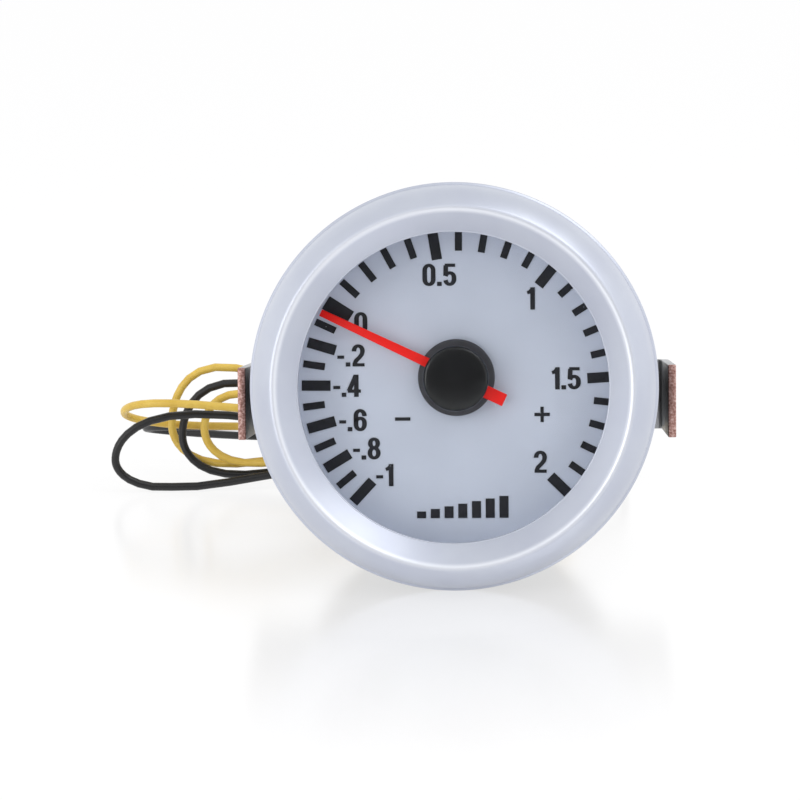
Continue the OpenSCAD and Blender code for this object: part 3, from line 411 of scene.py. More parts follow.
# Each figure is its width and the middle lines of its strokes, from its lower left corner. A line
# that ends where it starts is closed.
strokes = {
    "0": (1.95, [bend(0.975, 2.31, 0.63, 0.75, 180, 0) + bend(0.975, 0.99, 0.63, 0.75, 0, -180)
                 + [(0.345, 2.31)]]),
    "1": (1.35, [[(0.98, 0), (0.98, 3.3)], [(0.18, 2.5), (0.55, 2.62), (0.98, 3.06)]]),
    "2": (1.95, [bend(0.975, 2.31, 0.63, 0.75, 185, -10)
                 + [(1.5, 1.8), (1.15, 1.35), (0.6, 0.82), (0.4, 0.3)],
                 [(0.1, 0.24), (1.9, 0.24)]]),
    "4": (1.95, [[(1.2, 3.2), (0.95, 2.6), (0.16, 0.86)], [(0.0, 0.85), (1.95, 0.85)],
                 [(1.28, 0), (1.28, 3.3)]]),
    "5": (1.95, [[(0.25, 3.06), (1.8, 3.06)], [(0.42, 3.06), (0.36, 1.5)],
                 bend(0.975, 1.28, 0.63, 0.64, 165, 0) + bend(0.975, 0.99, 0.63, 0.75, 0, -170)]),
    "6": (1.95, [bend(0.975, 2.31, 0.63, 0.75, -5, 180) + bend(0.975, 0.99, 0.63, 0.75, 180, 360)
                 + bend(0.975, 1.32, 0.63, 0.6, 0, 175)]),
    "8": (1.95, [bend(0.975, 2.42, 0.56, 0.64, 0, 360), bend(0.975, 0.98, 0.63, 0.74, 0, 360)]),
    ".": (0.69, [[(0.345, 0), (0.345, 0.62)]]),
    "-": (1.03, [[(0, 1.4), (1.03, 1.4)]])}


def ribbon(shape, line, top_z):
    """A printed stroke along a line, broad where it runs up or down and thin where it is level."""
    closed = math.dist(line[0], line[-1]) < same_place
    places = [Vector(place) for place in (line[:-1] if closed else line)]
    rows = []
    for i, place in enumerate(places):
        before = places[i - 1] if closed or i else place
        after = places[(i + 1) % len(places)] if closed or i + 1 < len(places) else place
        way = (after - before).normalized()
        out = Vector((-way.y, way.x)) * math.hypot(stem_half * way.y, thin_half * way.x)
        sides = (place - out, place + out)
        rows.append([shape.verts.new((*at, z)) for z in (dial_z, top_z) for at in sides])
    for a, b in zip(rows, rows[1:] + rows[:1] if closed else rows[1:]):
        for p, q in ((0, 1), (1, 3), (3, 2), (2, 0)):
            shape.faces.new((a[p], a[q], b[q], b[p]))
    if not closed:
        for row in (rows[0], rows[-1]):
            shape.faces.new((row[0], row[1], row[3], row[2]))


def lettering(text, x, y):
    """Printed figures side by side, centred on a place. No two strokes have their tops level."""
    shape = bmesh.new()
    left = x - (sum(strokes[sign][0] for sign in text) + figure_gap * (len(text) - 1)) / 2
    for sign in text:
        width, lines = strokes[sign]
        for i, line in enumerate(lines):
            at = [(left + px, y - figure_h / 2 + py) for px, py in line]
            ribbon(shape, at, dial_z + print_t - layer_drop * i)
        left += width + figure_gap
    bmesh.ops.recalc_face_normals(shape, faces=shape.faces)
    return as_mesh("lettering", shape)


def block(x, y, width, height, drop=0.0):
    """A printed rectangle."""
    shape = bmesh.new()
    bmesh.ops.create_cube(shape, size=1)
    bmesh.ops.scale(shape, vec=(width, height, print_t), verts=shape.verts)
    bmesh.ops.translate(shape, vec=(x, y, dial_z + print_t / 2 - drop), verts=shape.verts)
    return as_mesh("block", shape)


bars_tree, given = new_tree("rising_bars", {
    "Count": "Int", "Pitch": "Float", "Width": "Float", "First height": "Float", "Growth": "Float",
    "Thickness": "Float", "Ink": "Material"}, "Bars")
index = add(bars_tree, "GeometryNodeInputIndex")
tall = add(bars_tree, "ShaderNodeMath", {0: index, 1: given["Growth"], 2: given["First height"]},
           operation="MULTIPLY_ADD")
row = add(bars_tree, "GeometryNodePoints", {
    "Count": given["Count"],
    "Position": add(bars_tree, "ShaderNodeCombineXYZ", {
        "X": add(bars_tree, "ShaderNodeMath", {0: index, 1: given["Pitch"]}, operation="MULTIPLY"),
        "Y": add(bars_tree, "ShaderNodeMath", {0: tall, 1: 0.5}, operation="MULTIPLY")})})
raised = add(bars_tree, "GeometryNodeInstanceOnPoints", {
    "Points": row, "Instance": add(bars_tree, "GeometryNodeMeshCube", {"Size": (1, 1, 1)}),
    "Scale": add(bars_tree, "ShaderNodeCombineXYZ", {
        "X": given["Width"], "Y": tall, "Z": given["Thickness"]})})
real = add(bars_tree, "GeometryNodeRealizeInstances", {"Geometry": raised})
inked = add(bars_tree, "GeometryNodeSetMaterial", {"Geometry": real, "Material": given["Ink"]})
add(bars_tree, "NodeGroupOutput", {"Bars": inked})

sign_w = 0.5
sign_len = 2.3
minus_at = (-7.8, -5.0)
plus_at = (12.96, -4.45)
bars = 7
bar_pitch = 2.05
bars_mid = (1.05, -19.85)
bar_row = grown(bars_tree, {"Count": bars, "Pitch": bar_pitch, "Width": 1.35, "First height": 1.0,
                            "Growth": 0.38, "Thickness": print_t, "Ink": ink})
bar_row.transform(Matrix.Translation((bars_mid[0] - (bars - 1) / 2 * bar_pitch, bars_mid[1],
                                      dial_z + print_t / 2)))
figures_mesh = joined([lettering(text, x, y) for text, x, y in figures]
                      + [block(*minus_at, sign_len, sign_w), block(*plus_at, sign_len, sign_w),
                         block(*plus_at, sign_w, sign_len, drop=layer_drop), bar_row])
figures_mesh.transform(gauge)
numbers = new_piece("scale_figures", figures_mesh, ink)
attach(numbers, "gauge")

# Hub disc. A dark grey disc moulded in ABS under the pointer, with a fine spark texture.
hub_z = -3.7
blade_z = -2.7
disc_r = 5.7
disc_edge = 0.25
disc_foot = 0.1


def arc(x, z, r, from_degrees, to_degrees, steps=8):
    """Points of a rounding in a turned profile, as [radius, height]."""
    turns = [math.radians(from_degrees + (to_degrees - from_degrees) * i / steps)
             for i in range(steps + 1)]
    return [(x + r * math.cos(a), z + r * math.sin(a)) for a in turns]


def turned(name, profile, material, centre=(0, 0), steps=192, sharp_degrees=35):
    """A piece turned round the gauge's axis, or a parallel one, from [radius, height] points."""
    shape = bmesh.new()
    rings = []
    for r, z in profile:
        count = 1 if r == 0 else steps
        rings.append([shape.verts.new((centre[0] + r * math.cos(2 * math.pi * k / steps),
                                       centre[1] + r * math.sin(2 * math.pi * k / steps), z))
                      for k in range(count)])
    pairs = list(zip(rings, rings[1:]))
    if profile[0][0] > 0:
        pairs.append((rings[-1], rings[0]))
    for low, high in pairs:
        for k in range(steps):
            corners = [low[k % len(low)], low[(k + 1) % len(low)],
                       high[(k + 1) % len(high)], high[k % len(high)]]
            shape.faces.new(list(dict.fromkeys(corners)))
    bmesh.ops.recalc_face_normals(shape, faces=shape.faces)
    bmesh.ops.transform(shape, matrix=gauge, verts=shape.verts)
    mesh = as_mesh(name, shape)
    smooth(mesh, sharp_degrees)
    return new_piece(name, mesh, material)


# Spark-textured mould: dark grey, with a dull and slightly uneven sheen. The texture is drawn at
# 0.12 mm, about twice its real grain, so that it shows.
grey_abs = finish("textured_dark_grey_abs", [(0.3, "#38373d"), (0.7, "#403f46")],
                  patch=(2, 3.0), sheen=(0.2, 3.0), gloss=(0.42, 0.58), relief=(0.12, 2.0, 0.01))

disc_profile = [(0, hub_z), (disc_r - disc_foot, hub_z), (disc_r, hub_z + disc_foot)]
disc_profile += arc(disc_r - disc_edge, blade_z - disc_edge, disc_edge, 0, 90, 6) + [(0, blade_z)]
hub_disc = turned("hub_disc_moulded", disc_profile, grey_abs, centre=pivot, steps=128)
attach(hub_disc, "pointer_arbor")
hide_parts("hub_disc")

# Pointer. A blade stamped from thin sheet and sprayed signal red, a little wider in the tail, with
# its edges rounded over by the press and the paint.
blade_angle = 154.4
blade_len = 22.3
tail_len = 7.9
tail_root = 2.4
tail_half = 0.95
root_half = 0.775
tip_half = 0.525
blade_side = 0.2
blade_t = 0.5
blade_edge = 0.1

# A warm red with a soft gloss, a trace paler where the coat is thin.
signal_red = finish("sprayed_signal_red_paint", [(0.3, "#f01108"), (0.7, "#f61b12")],
                    patch=(2.2, 4.0), sheen=(0.3, 3.0), gloss=(0.32, 0.48),
                    relief=(0.25, 2.0, 0.006), more={"Specular IOR Level": 0.25})

outline = [(-tail_len, -tail_half), (-tail_root, -tail_half), (0, -root_half - blade_side),
           (blade_len, -tip_half - blade_side), (blade_len, tip_half - blade_side),
           (0, root_half - blade_side), (-tail_root, tail_half), (-tail_len, tail_half)]
shape = bmesh.new()
face = shape.faces.new([shape.verts.new((x, y, blade_z)) for x, y in outline])
risen = bmesh.ops.extrude_face_region(shape, geom=[face])["geom"]
top_points = [found for found in risen if isinstance(found, bmesh.types.BMVert)]
bmesh.ops.translate(shape, vec=(0, 0, blade_t), verts=top_points)
bmesh.ops.recalc_face_normals(shape, faces=shape.faces)
bmesh.ops.bevel(shape, geom=shape.edges, offset=blade_edge, segments=3, affect="EDGES",
                profile=0.5, clamp_overlap=True)
blade_turn = Matrix.Rotation(math.radians(blade_angle), 4, "Z")
bmesh.ops.transform(shape, matrix=gauge @ Matrix.Translation((*pivot, 0)) @ blade_turn,
                    verts=shape.verts)
mesh = as_mesh("pointer_blade", shape)
smooth(mesh, sharp_degrees=50)
blade = new_piece("pointer_blade", mesh, signal_red)
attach(blade, "pointer_arbor")
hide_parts("pointer")

# Hub cap. A round cap moulded in black ABS and polished, pressed on the arbor over the pointer's
# hub, with a faint dome on top and a rounded shoulder.
cap_r = 4.85
cap_h = 4.0
shoulder = 0.6
cap_drop = 0.12
cap_edge = 0.15
cap_foot_z = blade_z + 0.02

# Clean mould gloss with the fine wiping marks that break up its highlights.
gloss_abs = finish("polished_black_abs", [(0.3, "#0d0d0f"), (0.7, "#131316")],
                   patch=(3, 3.0), sheen=(0.9, 5.0), gloss=(0.16, 0.3), relief=(1.6, 2.0, 0.004))
top_z = blade_z + cap_h
cap_profile = [(0, cap_foot_z), (cap_r - cap_edge, cap_foot_z), (cap_r, cap_foot_z + cap_edge)]
cap_profile += arc(cap_r - shoulder, top_z - cap_drop - shoulder, shoulder, 0, 84, 10)
cap_profile += [((cap_r - shoulder) * share, top_z - cap_drop * share ** 2)
                for share in (0.75, 0.5, 0.25, 0)]
cap = turned("hub_cap_polished", cap_profile, gloss_abs, centre=pivot, steps=160)
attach(cap, "pointer_arbor")
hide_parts("hub_cap")

# Gasket. A flat ring punched from black rubber sheet. The bezel squeezes it between the lens and
# the case's mouth, where it keeps out the damp.

# Dull carbon rubber with a slightly chalky bloom.
rubber = finish("matt_black_rubber", [(0.3, "#1c1c1d"), (0.75, "#2a2a2b")],
                patch=(2.5, 5.0), sheen=(0.6, 3.0), gloss=(0.66, 0.85), relief=(0.25, 3.0, 0.02))
coat_node("lens_gasket", rubber)

# Lens. A clear disc cut from polished acrylic, 1.5 mm thick, held by the bezel's lip. It is thin
# and flat, so it is seen straight through and only adds a faint reflection.
lens_back_z = 1.9
lens_front_z = 3.4
lens_r = 25.35
mirror_share = 0.22

# Clear and polished: a weak reflection at a slant, with the haze of light handling in it.
acrylic, tree, along = start_finish("clear_polished_acrylic")
slant = add(tree, "ShaderNodeFresnel", {"IOR": 1.49})
share = add(tree, "ShaderNodeMath", {0: slant, 1: mirror_share}, operation="MULTIPLY")
haze = add(tree, "ShaderNodeTexNoise", {"Vector": along, "Scale": 1 / 6, "Detail": 5.0})
clear = add(tree, "ShaderNodeBsdfTransparent", {"Color": linear("#fcfdfd")})
gloss = add(tree, "ShaderNodeBsdfGlossy", {
    "Color": linear("#ffffff"),
    "Roughness": add(tree, "ShaderNodeMapRange", {"Value": haze, "To Min": 0.02, "To Max": 0.08})})
add(tree, "ShaderNodeOutputMaterial", {
    "Surface": add(tree, "ShaderNodeMixShader", {"Fac": share, 1: clear, 2: gloss})})

lens_profile = [(0, lens_back_z), (lens_r, lens_back_z), (lens_r, lens_front_z), (0, lens_front_z)]
lens = turned("lens_disc", lens_profile, acrylic, steps=160)
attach(lens, "gauge")
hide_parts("lens")

# Bezel. A ring spun from aluminium and sprayed with satin silver lacquer: a convex outer band, a
# rounded crest, and a cone that leads down to the window. It is pressed over the case's neck.
bezel_r = 30.0
bore_edge = 0.12
rear_edge = 0.15
rim_h = 1.2
rim_round = 0.3
band_in = 0.35
band_swell = 0.55
band_tilt = 38
band_steps = 24
crest_r = 26.2
crest_z = 6.2
crest_round = 0.8
highlight_line_r = 25.95
window_r = 22.7
window_z = 4.2
lip_round = 0.15
lip_flat = 0.2
neck_step = 0.4
pocket_r = case_r - neck_step + slip
pocket_foot_z = 0.4

# Fine aluminium flake in a satin lacquer: pale cool silver with a soft mottle and a few pin specks.
# Along the crest a near-white line is painted into the colour: a painted highlight for the light
# the crest catches.
# The flake is drawn at 0.12 mm, a few times coarser than it is, so that it shows.
silver_lacquer, tree, along = start_finish("satin_silver_lacquer_on_aluminium")
flake = add(tree, "ShaderNodeTexNoise", {"Vector": along, "Scale": 1 / 0.12, "Detail": 2.0})
mottle = add(tree, "ShaderNodeTexNoise", {"Vector": along, "Scale": 1 / 7, "Detail": 3.0})
specks = dust(tree, along, spacing_mm=3.4, size_mm=0.14)
across = add(tree, "ShaderNodeVectorMath", {0: along, 1: (1, 1, 0)}, operation="MULTIPLY")
out_r = add(tree, "ShaderNodeVectorMath", {0: across}, operation="LENGTH").outputs["Value"]
off_crest = add(tree, "ShaderNodeMath", {0: out_r, 1: -highlight_line_r}, operation="ADD")
off_crest = add(tree, "ShaderNodeMath", {0: off_crest}, operation="ABSOLUTE")
# Painted highlight: the colour turns near-white in a narrow ring at the crest's radius.
painted_crest_highlight = add(tree, "ShaderNodeMapRange", {
    "Value": off_crest, "From Min": 0.05, "From Max": 0.65, "To Min": 0.5, "To Max": 0.0},
    interpolation_type="SMOOTHSTEP")
base = add(tree, "ShaderNodeValToRGB", {"Fac": mottle}, [(0.3, "#babfcd"), (0.7, "#c0c5d1")])
worn = add(tree, "ShaderNodeMix", {"Factor": specks, 6: base, 7: linear("#8f949e")},
           data_type="RGBA")
# The painted highlight is mixed over the lacquer's own colour here.
bright = add(tree, "ShaderNodeMix", {
    "Factor": painted_crest_highlight, 6: worn.outputs[2], 7: linear("#f6f8fd")}, data_type="RGBA")
coat = add(tree, "ShaderNodeBsdfPrincipled", {
    "Base Color": bright.outputs[2],
    "Metallic": 0.55,
    "Roughness": add(tree, "ShaderNodeMapRange", {"Value": flake, "To Min": 0.34, "To Max": 0.46}),
    "Coat Weight": 0.3,
    "Coat Roughness": 0.2,
    "Normal": add(tree, "ShaderNodeBump", {"Height": flake, "Distance": 0.004 * MM})})
add(tree, "ShaderNodeOutputMaterial", {"Surface": coat})

# The band is a shallow bow from just inside the rim to the crest's rounding.
cone_tilt = math.degrees(math.atan2(crest_z + crest_round - window_z, crest_r - window_r))
band_foot = Vector((bezel_r - band_in, rim_h + band_in))
band_head = Vector((crest_r + crest_round * math.sin(math.radians(band_tilt)),
                    crest_z + crest_round * math.cos(math.radians(band_tilt))))
chord = band_head - band_foot
outward = Vector((chord.y, -chord.x)).normalized()
band = [tuple(band_foot + chord * share + outward * 4 * share * (1 - share) * band_swell)
        for share in (i / band_steps for i in range(band_steps))]
bezel_profile = [(case_r + slip, bore_edge), (case_r + slip + bore_edge, 0.0)]
bezel_profile += arc(bezel_r - rear_edge, rear_edge, rear_edge, -90, 0, 4)
bezel_profile += arc(bezel_r - rim_round, rim_h, rim_round, 0, 50, 5) + band
bezel_profile += arc(crest_r, crest_z, crest_round, 90 - band_tilt, 90 + cone_tilt, 14)
bezel_profile += [(window_r + lip_flat, window_z)]
bezel_profile += arc(window_r + lip_round, window_z - lip_round, lip_round, 100, 180, 4)
bezel_profile += [(window_r, lens_front_z), (pocket_r, lens_front_z), (pocket_r, pocket_foot_z)]
bezel = turned("bezel_ring", bezel_profile, silver_lacquer, steps=256)
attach(bezel, "gauge")
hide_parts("bezel")

# Lamp. A wedge-base bulb of clear glass in a moulded rubber holder that plugs into the rear wall,
# with a tapered boot where the two leads come out.

# Thin blown glass: clear, with a faint unevenness in its gloss.
bulb_glass, tree, along = start_finish("clear_bulb_glass")
sheen = add(tree, "ShaderNodeTexNoise", {"Vector": along, "Scale": 1 / 1.5, "Detail": 3.0})
coat = add(tree, "ShaderNodeBsdfPrincipled", {
    "Base Color": linear("#f6f4ee"),
    "Roughness": add(tree, "ShaderNodeMapRange", {"Value": sheen, "To Min": 0.02, "To Max": 0.1}),
    "Transmission Weight": 1.0,
    "IOR": 1.5})
add(tree, "ShaderNodeOutputMaterial", {"Surface": coat})
coat_node("lamp_bulb", bulb_glass)
holder = softened("lamp_holder", "lamp_holder_moulded", rubber, width_mm=0.3)
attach(holder, "gauge")
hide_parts("lamp_holder")

# Bracket. A U of 1.2 mm steel strip, bent after zinc plating, that pulls the gauge against the
# panel. Its two leg ends were sheared after plating, so they are rough and coppery.
plate_back_z = -34.2
leg_len = 22
torn_from = 0.22
torn_full = 0.1

# Dull zinc spangle with a soft sheen on the bent strip. The ends show where the shear tore the
# steel: mottled copper and brown with a rough grain.
zinc, tree, along = start_finish("zinc_plated_sheared_strip")
apart = add(tree, "ShaderNodeSeparateXYZ", {"Vector": along})
leg_end_z = plate_back_z + leg_len
cut = add(tree, "ShaderNodeMapRange", {
    "Value": apart.outputs["Z"], "From Min": leg_end_z - torn_from,
    "From Max": leg_end_z - torn_full})
spangle = add(tree, "ShaderNodeTexNoise", {"Vector": along, "Scale": 1 / 2.4, "Detail": 6.0})
zinc_colour = add(tree, "ShaderNodeValToRGB", {"Fac": spangle}, [
    (0.3, "#9d9fa2"), (0.6, "#b4b5b7"), (0.8, "#a4a49f")])
grain = add(tree, "ShaderNodeTexNoise", {"Vector": along, "Scale": 1 / 0.35, "Detail": 5.0})
torn_colour = add(tree, "ShaderNodeValToRGB", {"Fac": grain}, [
    (0.25, "#6b4540"), (0.5, "#b0877f"), (0.75, "#e8cdc6")])
sheen = add(tree, "ShaderNodeTexNoise", {"Vector": along, "Scale": 1 / 0.8, "Detail": 5.0})
relief = add(tree, "ShaderNodeTexNoise", {"Vector": along, "Scale": 1 / 0.3, "Detail": 4.0})
coat = add(tree, "ShaderNodeBsdfPrincipled", {
    "Base Color": add(tree, "ShaderNodeMix", {"Factor": cut, 6: zinc_colour, 7: torn_colour},
                      data_type="RGBA").outputs[2],
    "Metallic": 1.0,
    "Roughness": add(tree, "ShaderNodeMapRange", {"Value": sheen, "To Min": 0.28, "To Max": 0.5}),
    "Normal": add(tree, "ShaderNodeBump", {
        "Height": relief, "Distance": 0.03 * MM, "Strength": 0.6})})
add(tree, "ShaderNodeOutputMaterial", {"Surface": coat})
bracket = softened("bracket", "bracket_strip", zinc, width_mm=0.14)
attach(bracket, "gauge")
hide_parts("bracket")

# Washers and nuts. Split spring washers, and round thumb nuts with a straight knurl rolled into
# their wide part, all nickel plated, which clamp the bracket on its studs.
washers = softened("spring_washers", "split_washers", nickel, width_mm=0.08)
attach(washers, "gauge")
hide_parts("spring_washers")

nut_r = 4.3
nut_end_z = -40.6
nut_wide_h = 4.3
stud_x = 17.0
port_drop = 3.0
ridge_r = 0.22
ridge_sink = 0.02
plain_edge = 0.45

knurl_tree, given = new_tree("straight_knurl", {
    "Ridges": "Int", "Radius": "Float", "Ridge radius": "Float", "Length": "Float",
    "Plating": "Material"}, "Ridges")
circle = add(knurl_tree, "GeometryNodeMeshCircle", {
    "Vertices": given["Ridges"], "Radius": given["Radius"]})
ridge = add(knurl_tree, "GeometryNodeMeshCylinder", {
    "Vertices": 4, "Radius": given["Ridge radius"], "Depth": given["Length"]})
facing = add(knurl_tree, "FunctionNodeAlignRotationToVector", {
    "Vector": add(knurl_tree, "GeometryNodeInputPosition")}, axis="X")
laid = add(knurl_tree, "GeometryNodeInstanceOnPoints", {
    "Points": circle, "Instance": ridge, "Rotation": facing})
real = add(knurl_tree, "GeometryNodeRealizeInstances", {"Geometry": laid})
plated = add(knurl_tree, "GeometryNodeSetMaterial", {
    "Geometry": real, "Material": given["Plating"]})
add(knurl_tree, "NodeGroupOutput", {"Ridges": plated})

nuts = softened("knurled_nuts", "thumb_nuts", nickel, width_mm=0.2)
ridges = []
for side in (-1, 1):
    mesh = grown(knurl_tree, {"Ridges": 40, "Radius": nut_r - ridge_sink, "Ridge radius": ridge_r,
                              "Length": nut_wide_h - 2 * plain_edge, "Plating": nickel})
    nut_middle = (side * stud_x, -port_drop, nut_end_z + nut_wide_h / 2)
    mesh.transform(gauge @ Matrix.Translation(nut_middle))
    ridges.append(mesh)
knurl = new_piece("nut_knurl", joined(ridges), nickel)
for made in (nuts, knurl):
    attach(made, "gauge")
    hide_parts("knurled_nuts")

# Hose nipple and seal. A nipple with a hexagon turned from brass bar, screwed on the stem over a
# ring punched from red-brown vulcanised fibre.
nipple = softened("hose_nipple", "hose_nipple_turned", brass, width_mm=0.2)
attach(nipple, "gauge")
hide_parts("hose_nipple")

# Pressed paper fibre: red-brown, dull and slightly felted.
fibre = finish("vulcanised_fibre", [(0.3, "#8a4632"), (0.7, "#a35a42")],
               patch=(0.9, 5.0), sheen=(0.4, 3.0), gloss=(0.6, 0.8), relief=(0.2, 3.0, 0.02))
coat_node("port_seal", fibre)

# Tie. A band moulded from black nylon, drawn tight round the waist of the two leads once they are
# wound.

# Moulded nylon: black, with a dull and slightly patchy sheen.
nylon = finish("black_nylon", [(0.3, "#1a1a1b"), (0.7, "#232324")],
               patch=(2, 3.0), sheen=(0.5, 3.0), gloss=(0.42, 0.6), relief=(0.3, 2.0, 0.01))
tie = softened("lead_tie", "lead_tie_band", nylon, width_mm=0.2)
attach(tie, "gauge")
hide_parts("lead_tie")

# Leads. Two stranded copper wires in soft PVC, 1.4 mm thick, one yellow and one black. They leave
# the lamp's boot, drop behind the gauge and end in a hank that is folded in line with it.

# The ways from the boot are places [to the right, depth, height]. A high or low row is a lead's
# three slots at the waist as [depth, height], and a left or right row its three loops as [reach,
# depth, height, swell above, swell below, tilt in degrees]. The winding is counted in degrees.
lead_d = 1.4
lead_pitch = 3.2
boot_end = (14.0, -44.05)
boot_run = 2.95
hank_front = 42.4856
waist_left = 8
waist_ease = 20
swell_scale = 2.6
yellow_way = [[5, -8, 33.5], [11, -3, 27], [16, 1.5, 21], [14.5, 6, 16.8], [8.5, 8.2, 14.6],
              [2, 8.8, 13.2], [-3, 8.8, 12.7]]
yellow_high = [[8.8, 12.6], [6.5, 9.9], [4.3, 12.1]]
yellow_low = [[6.5, 7.8], [4.3, 7.8], [8.7, 10.3]]
yellow_left = [[43.5, 9.2, 10.2, 9.4, 5.8, 86], [37.3, 5.1, 10.2, 6.4, 5.1, 91],
               [51.4, 6.9, 12.8, 7, 4.7, 152]]
yellow_right = [[27, 9.3, 9.2, 4, 3.6, 90], [26, 1.3, 9, 3.8, 3.6, 92], [20, 10.5, 12.4, 0, 0, 90]]
black_way = [[1, -8, 32], [6, -4, 27], [10.5, 0, 21.5], [10.5, 3.8, 17.2], [6, 6, 14.6],
             [1.5, 6.5, 13.1], [-3.5, 6.5, 12.5]]
black_high = [[6.5, 12.4], [4.3, 9.9], [12.7, 9]]
black_low = [[6.5, 5.5], [3.5, 5.1], [12.9, 6.8]]
black_left = [[41.4, 6.8, 8.7, 8, 5.6, 86], [52.4, 0.9, 5.7, 6.2, 5, 94],
              [50, 22.9, 7, 4.6, 5.4, 166]]
black_right = [[23, 5.9, 10.2, 3.4, 3.6, 90], [36, 11.5, 4.8, 4.4, 4.2, 84],
               [23, 16.1, 8, 0, 0, 90]]
hank_start = 90
hank_end = 1050
turn_points = 60
way_steps = 6


def hank_point(u, high, low, left, right):
    """Place on a wound lead at a turn in degrees: in a slot at the waist, swollen out between."""
    k = min(int((u - hank_start) // 360), 2)
    part = u - hank_start - 360 * k
    loop = left[k] if part <= 180 else right[k]
    slot = high[k] if part < 90 else low[k] if part < 270 else high[min(k + 1, 2)]
    along_x, across = math.cos(math.radians(u)), math.sin(math.radians(u))
    swell = swell_scale * (loop[3] if across > 0 else loop[4]) * along_x ** 2 * across
    tilt = math.radians(loop[5])
    depth = slot[0] * across ** 2 + loop[1] * along_x ** 2 + swell * math.cos(tilt)
    height = slot[1] * across ** 2 + loop[2] * along_x ** 2 + swell * math.sin(tilt)
    return Vector((loop[0] * along_x - waist_left, hank_front + depth, height))


def smooth_way(places):
    """Points of a smooth line through a list of places."""
    found = []
    for i in range(len(places) - 1):
        a, b, c = places[max(i - 1, 0)], places[i], places[i + 1]
        d = places[min(i + 2, len(places) - 1)]
        for k in range(way_steps):
            t = k / way_steps
            found.append(0.5 * (2 * b + (c - a) * t + (2 * a - 5 * b + 4 * c - d) * t * t
                                + (3 * b - a - 3 * c + d) * t ** 3))
    return found + [places[-1]]


def lead_curve(name, side, way, high, low, left, right, material):
    """One lead as a round curve from the boot to its bare end, and the place where it starts.

    It slows down at the waist, where its bends are tight, and no part of it dips into the table.
    """
    start = gauge @ Vector((side * lead_pitch / 2, *boot_end))
    run_out = gauge @ Vector((side * lead_pitch / 2, boot_end[0], boot_end[1] - boot_run))
    places = [start / MM, run_out / MM] + [Vector((x, hank_front + y, z)) for x, y, z in way]
    places.append(Vector((-waist_left, hank_front + high[0][0], high[0][1])))
    path = smooth_way(places)
    count = round((hank_end - hank_start) / 360 * turn_points)
    for i in range(1, count + 1):
        even = hank_start + (hank_end - hank_start) * i / count
        eased = even - waist_ease * math.sin(math.radians(2 * even))
        path.append(hank_point(eased, high, low, left, right))
    curve = bpy.data.curves.new(name, "CURVE")
    curve.dimensions = "3D"
    curve.bevel_depth = lead_d / 2 * MM
    curve.bevel_resolution = 4
    curve.use_fill_caps = True
    line = curve.splines.new("POLY")
    line.points.add(len(path) - 1)
    for point, place in zip(line.points, path):
        point.co = (place.x * MM, place.y * MM, max(place.z, lead_d / 2) * MM, 1)
    curve.materials.append(material)
    made = bpy.data.objects.new(name, curve)
    bpy.context.scene.collection.objects.link(made)
    return made, start


# Plasticised PVC: a soft satin with slight waves from the extruder, and a little grime.
yellow_pvc = finish("soft_yellow_pvc", [(0.3, "#cca83e"), (0.6, "#d8b750"), (0.85, "#bf9b34")],
                    patch=(3.5, 5.0), sheen=(1, 4.0), gloss=(0.3, 0.46), relief=(0.6, 3.0, 0.02))
# The same PVC in black, which shows less of its colour and more of its soft shine.
black_pvc = finish("soft_black_pvc", [(0.3, "#0c0c0d"), (0.7, "#151517")],
                   patch=(3, 5.0), sheen=(1, 4.0), gloss=(0.3, 0.46), relief=(0.6, 3.0, 0.02))

# Strands dipped in solder: dull silver with ridges along the wire.
tinned = finish("tinned_copper_strands", [(0.3, "#a9a49b"), (0.7, "#c3bfb6")],
                patch=(0.5, 4.0), sheen=(0.3, 3.0), gloss=(0.25, 0.45),
                relief=(0.15, 2.0, 0.02), more={"Metallic": 1.0})
coat_node("yellow_tip", tinned)
coat_node("black_tip", tinned)

yellow_lead, yellow_exit = lead_curve("yellow_lamp_lead", 1, yellow_way, yellow_high, yellow_low,
                                      yellow_left, yellow_right, yellow_pvc)
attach(yellow_lead, "gauge")
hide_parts("yellow_lead", "yellow_hank")

black_lead, black_exit = lead_curve("black_lamp_lead", -1, black_way, black_high, black_low,
                                    black_left, black_right, black_pvc)
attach(black_lead, "gauge")
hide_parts("black_lead", "black_hank")

# Table. A glossy white sheet that fades into the background, with a soft reflection of the gauge
# and the shadow under it.
table_half = 4.0
foot_place = (-0.004, -0.022, 0)
white_part = 0.87

shape = bmesh.new()
bmesh.ops.create_grid(shape, x_segments=1, y_segments=1, size=table_half)
mesh = as_mesh("table", shape)

# White sheet that shows itself nearly plain white, yet keeps the shadow under the gauge. The gloss
# is only near the gauge's foot, where the sheet mirrors it, and fades out round it.
white_table = bpy.data.materials.new("glossy_white_sheet")
white_table.use_nodes = True
tree = white_table.node_tree
tree.nodes.clear()
path = add(tree, "ShaderNodeLightPath")
seen = add(tree, "ShaderNodeMath", {
    0: path.outputs["Is Camera Ray"], 1: path.outputs["Is Glossy Ray"]}, operation="ADD")
seen = add(tree, "ShaderNodeMath", {0: seen, 1: path.outputs["Is Transmission Ray"]},
           operation="ADD", use_clamp=True)
white_share = add(tree, "ShaderNodeMath", {0: seen, 1: white_part}, operation="MULTIPLY")
lit = add(tree, "ShaderNodeBsdfDiffuse", {"Color": linear("#fbfafc")})
glow = add(tree, "ShaderNodeEmission", {"Color": linear("#ffffff"), "Strength": 1.0})
sheet = add(tree, "ShaderNodeMixShader", {"Fac": white_share, 1: lit, 2: glow})
off_foot = add(tree, "ShaderNodeVectorMath", {
    0: add(tree, "ShaderNodeTexCoord").outputs["Object"], 1: foot_place}, operation="DISTANCE")
gloss = add(tree, "ShaderNodeMapRange", {
    "Value": off_foot.outputs["Value"], "From Min": 0.03, "From Max": 0.085, "To Min": 0.26,
    "To Max": 0.0})
mirror = add(tree, "ShaderNodeBsdfGlossy", {"Color": linear("#ffffff"), "Roughness": 0.2})
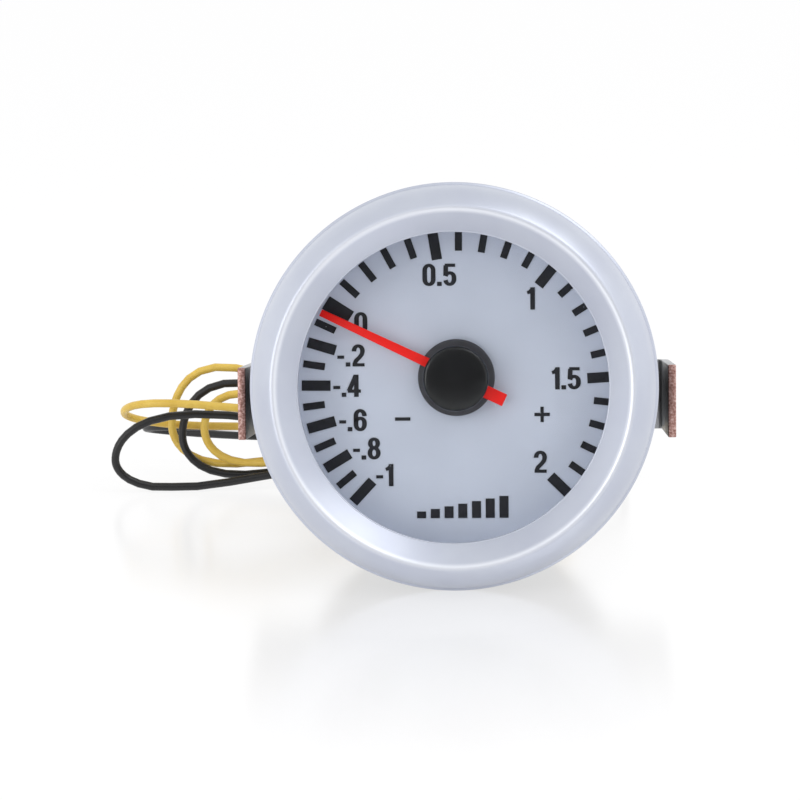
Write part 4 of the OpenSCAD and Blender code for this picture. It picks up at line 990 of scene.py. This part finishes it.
add(tree, "ShaderNodeOutputMaterial", {
    "Surface": add(tree, "ShaderNodeMixShader", {"Fac": gloss, 1: sheet, 2: mirror})})
table = new_piece("table", mesh, white_table)

# Studio. A white tent all round with a dark opening in front, a soft lamp high on the right and a
# weaker one low in front on the left. The camera sees the tent as plain white.
world = bpy.data.worlds.new("white_tent")
bpy.context.scene.world = world
world.use_nodes = True
tree = world.node_tree
tree.nodes.clear()
path = add(tree, "ShaderNodeLightPath")
place = add(tree, "ShaderNodeTexCoord").outputs["Generated"]
towards = add(tree, "ShaderNodeSeparateXYZ", {"Vector": place})
opening = add(tree, "ShaderNodeMapRange", {
    "Value": towards.outputs["Y"], "From Min": -0.99, "From Max": -0.82, "To Min": 0.06,
    "To Max": 1.0})
overhead = add(tree, "ShaderNodeMapRange", {
    "Value": towards.outputs["Z"], "From Min": 0.2, "From Max": 1.0, "To Min": 1.18,
    "To Max": 0.84})
mirrored = add(tree, "ShaderNodeMath", {0: opening, 1: overhead}, operation="MULTIPLY")
tent = add(tree, "ShaderNodeMix", {
    "Factor": path.outputs["Is Glossy Ray"], "A": overhead, "B": mirrored}, data_type="FLOAT")
seen = add(tree, "ShaderNodeMath", {
    0: path.outputs["Is Camera Ray"], 1: path.outputs["Is Transmission Ray"]}, operation="ADD",
    use_clamp=True)
level = add(tree, "ShaderNodeMix", {"Factor": seen, "A": tent, "B": 1.0}, data_type="FLOAT")
sky = add(tree, "ShaderNodeBackground", {"Color": linear("#ffffff"), "Strength": level})
add(tree, "ShaderNodeOutputWorld", {"Surface": sky})

lamp_width = 0.5
for name, place, power in (("key_lamp", (0.42, -0.25, 0.72), 1.8),
                           ("fill_lamp", (-0.5, -0.6, 0.14), 1.4)):
    light = bpy.data.lights.new(name, "AREA")
    light.size = lamp_width
    light.energy = power
    lamp = bpy.data.objects.new(name, light)
    bpy.context.scene.collection.objects.link(lamp)
    lamp.location = place
    lamp.rotation_euler = (Vector(place) - gauge_origin).to_track_quat("Z", "Y").to_euler()

# Camera. It looks at the face from 0.41 m in front and a little above and points a little past the
# gauge to the left. Its lens and its place were worked out from the gauge's real sizes.
camera_data = bpy.data.cameras.new("camera")
camera_data.sensor_width = 36
camera_data.lens = 121.65
camera_data.clip_start = 0.01
camera = bpy.data.objects.new("camera", camera_data)
bpy.context.scene.collection.objects.link(camera)
camera_place = (0.010713, -0.411367, 0.100741)
yaw, pitch, roll = math.radians(2.733), math.radians(10.548), math.radians(-0.896)
camera.matrix_world = (Matrix.Translation(camera_place) @ Matrix.Rotation(yaw, 4, "Z")
                       @ Matrix.Rotation(math.pi / 2 - pitch, 4, "X")
                       @ Matrix.Rotation(roll, 4, "Z"))
bpy.context.scene.camera = camera
bpy.context.scene.view_settings.view_transform = "Standard"
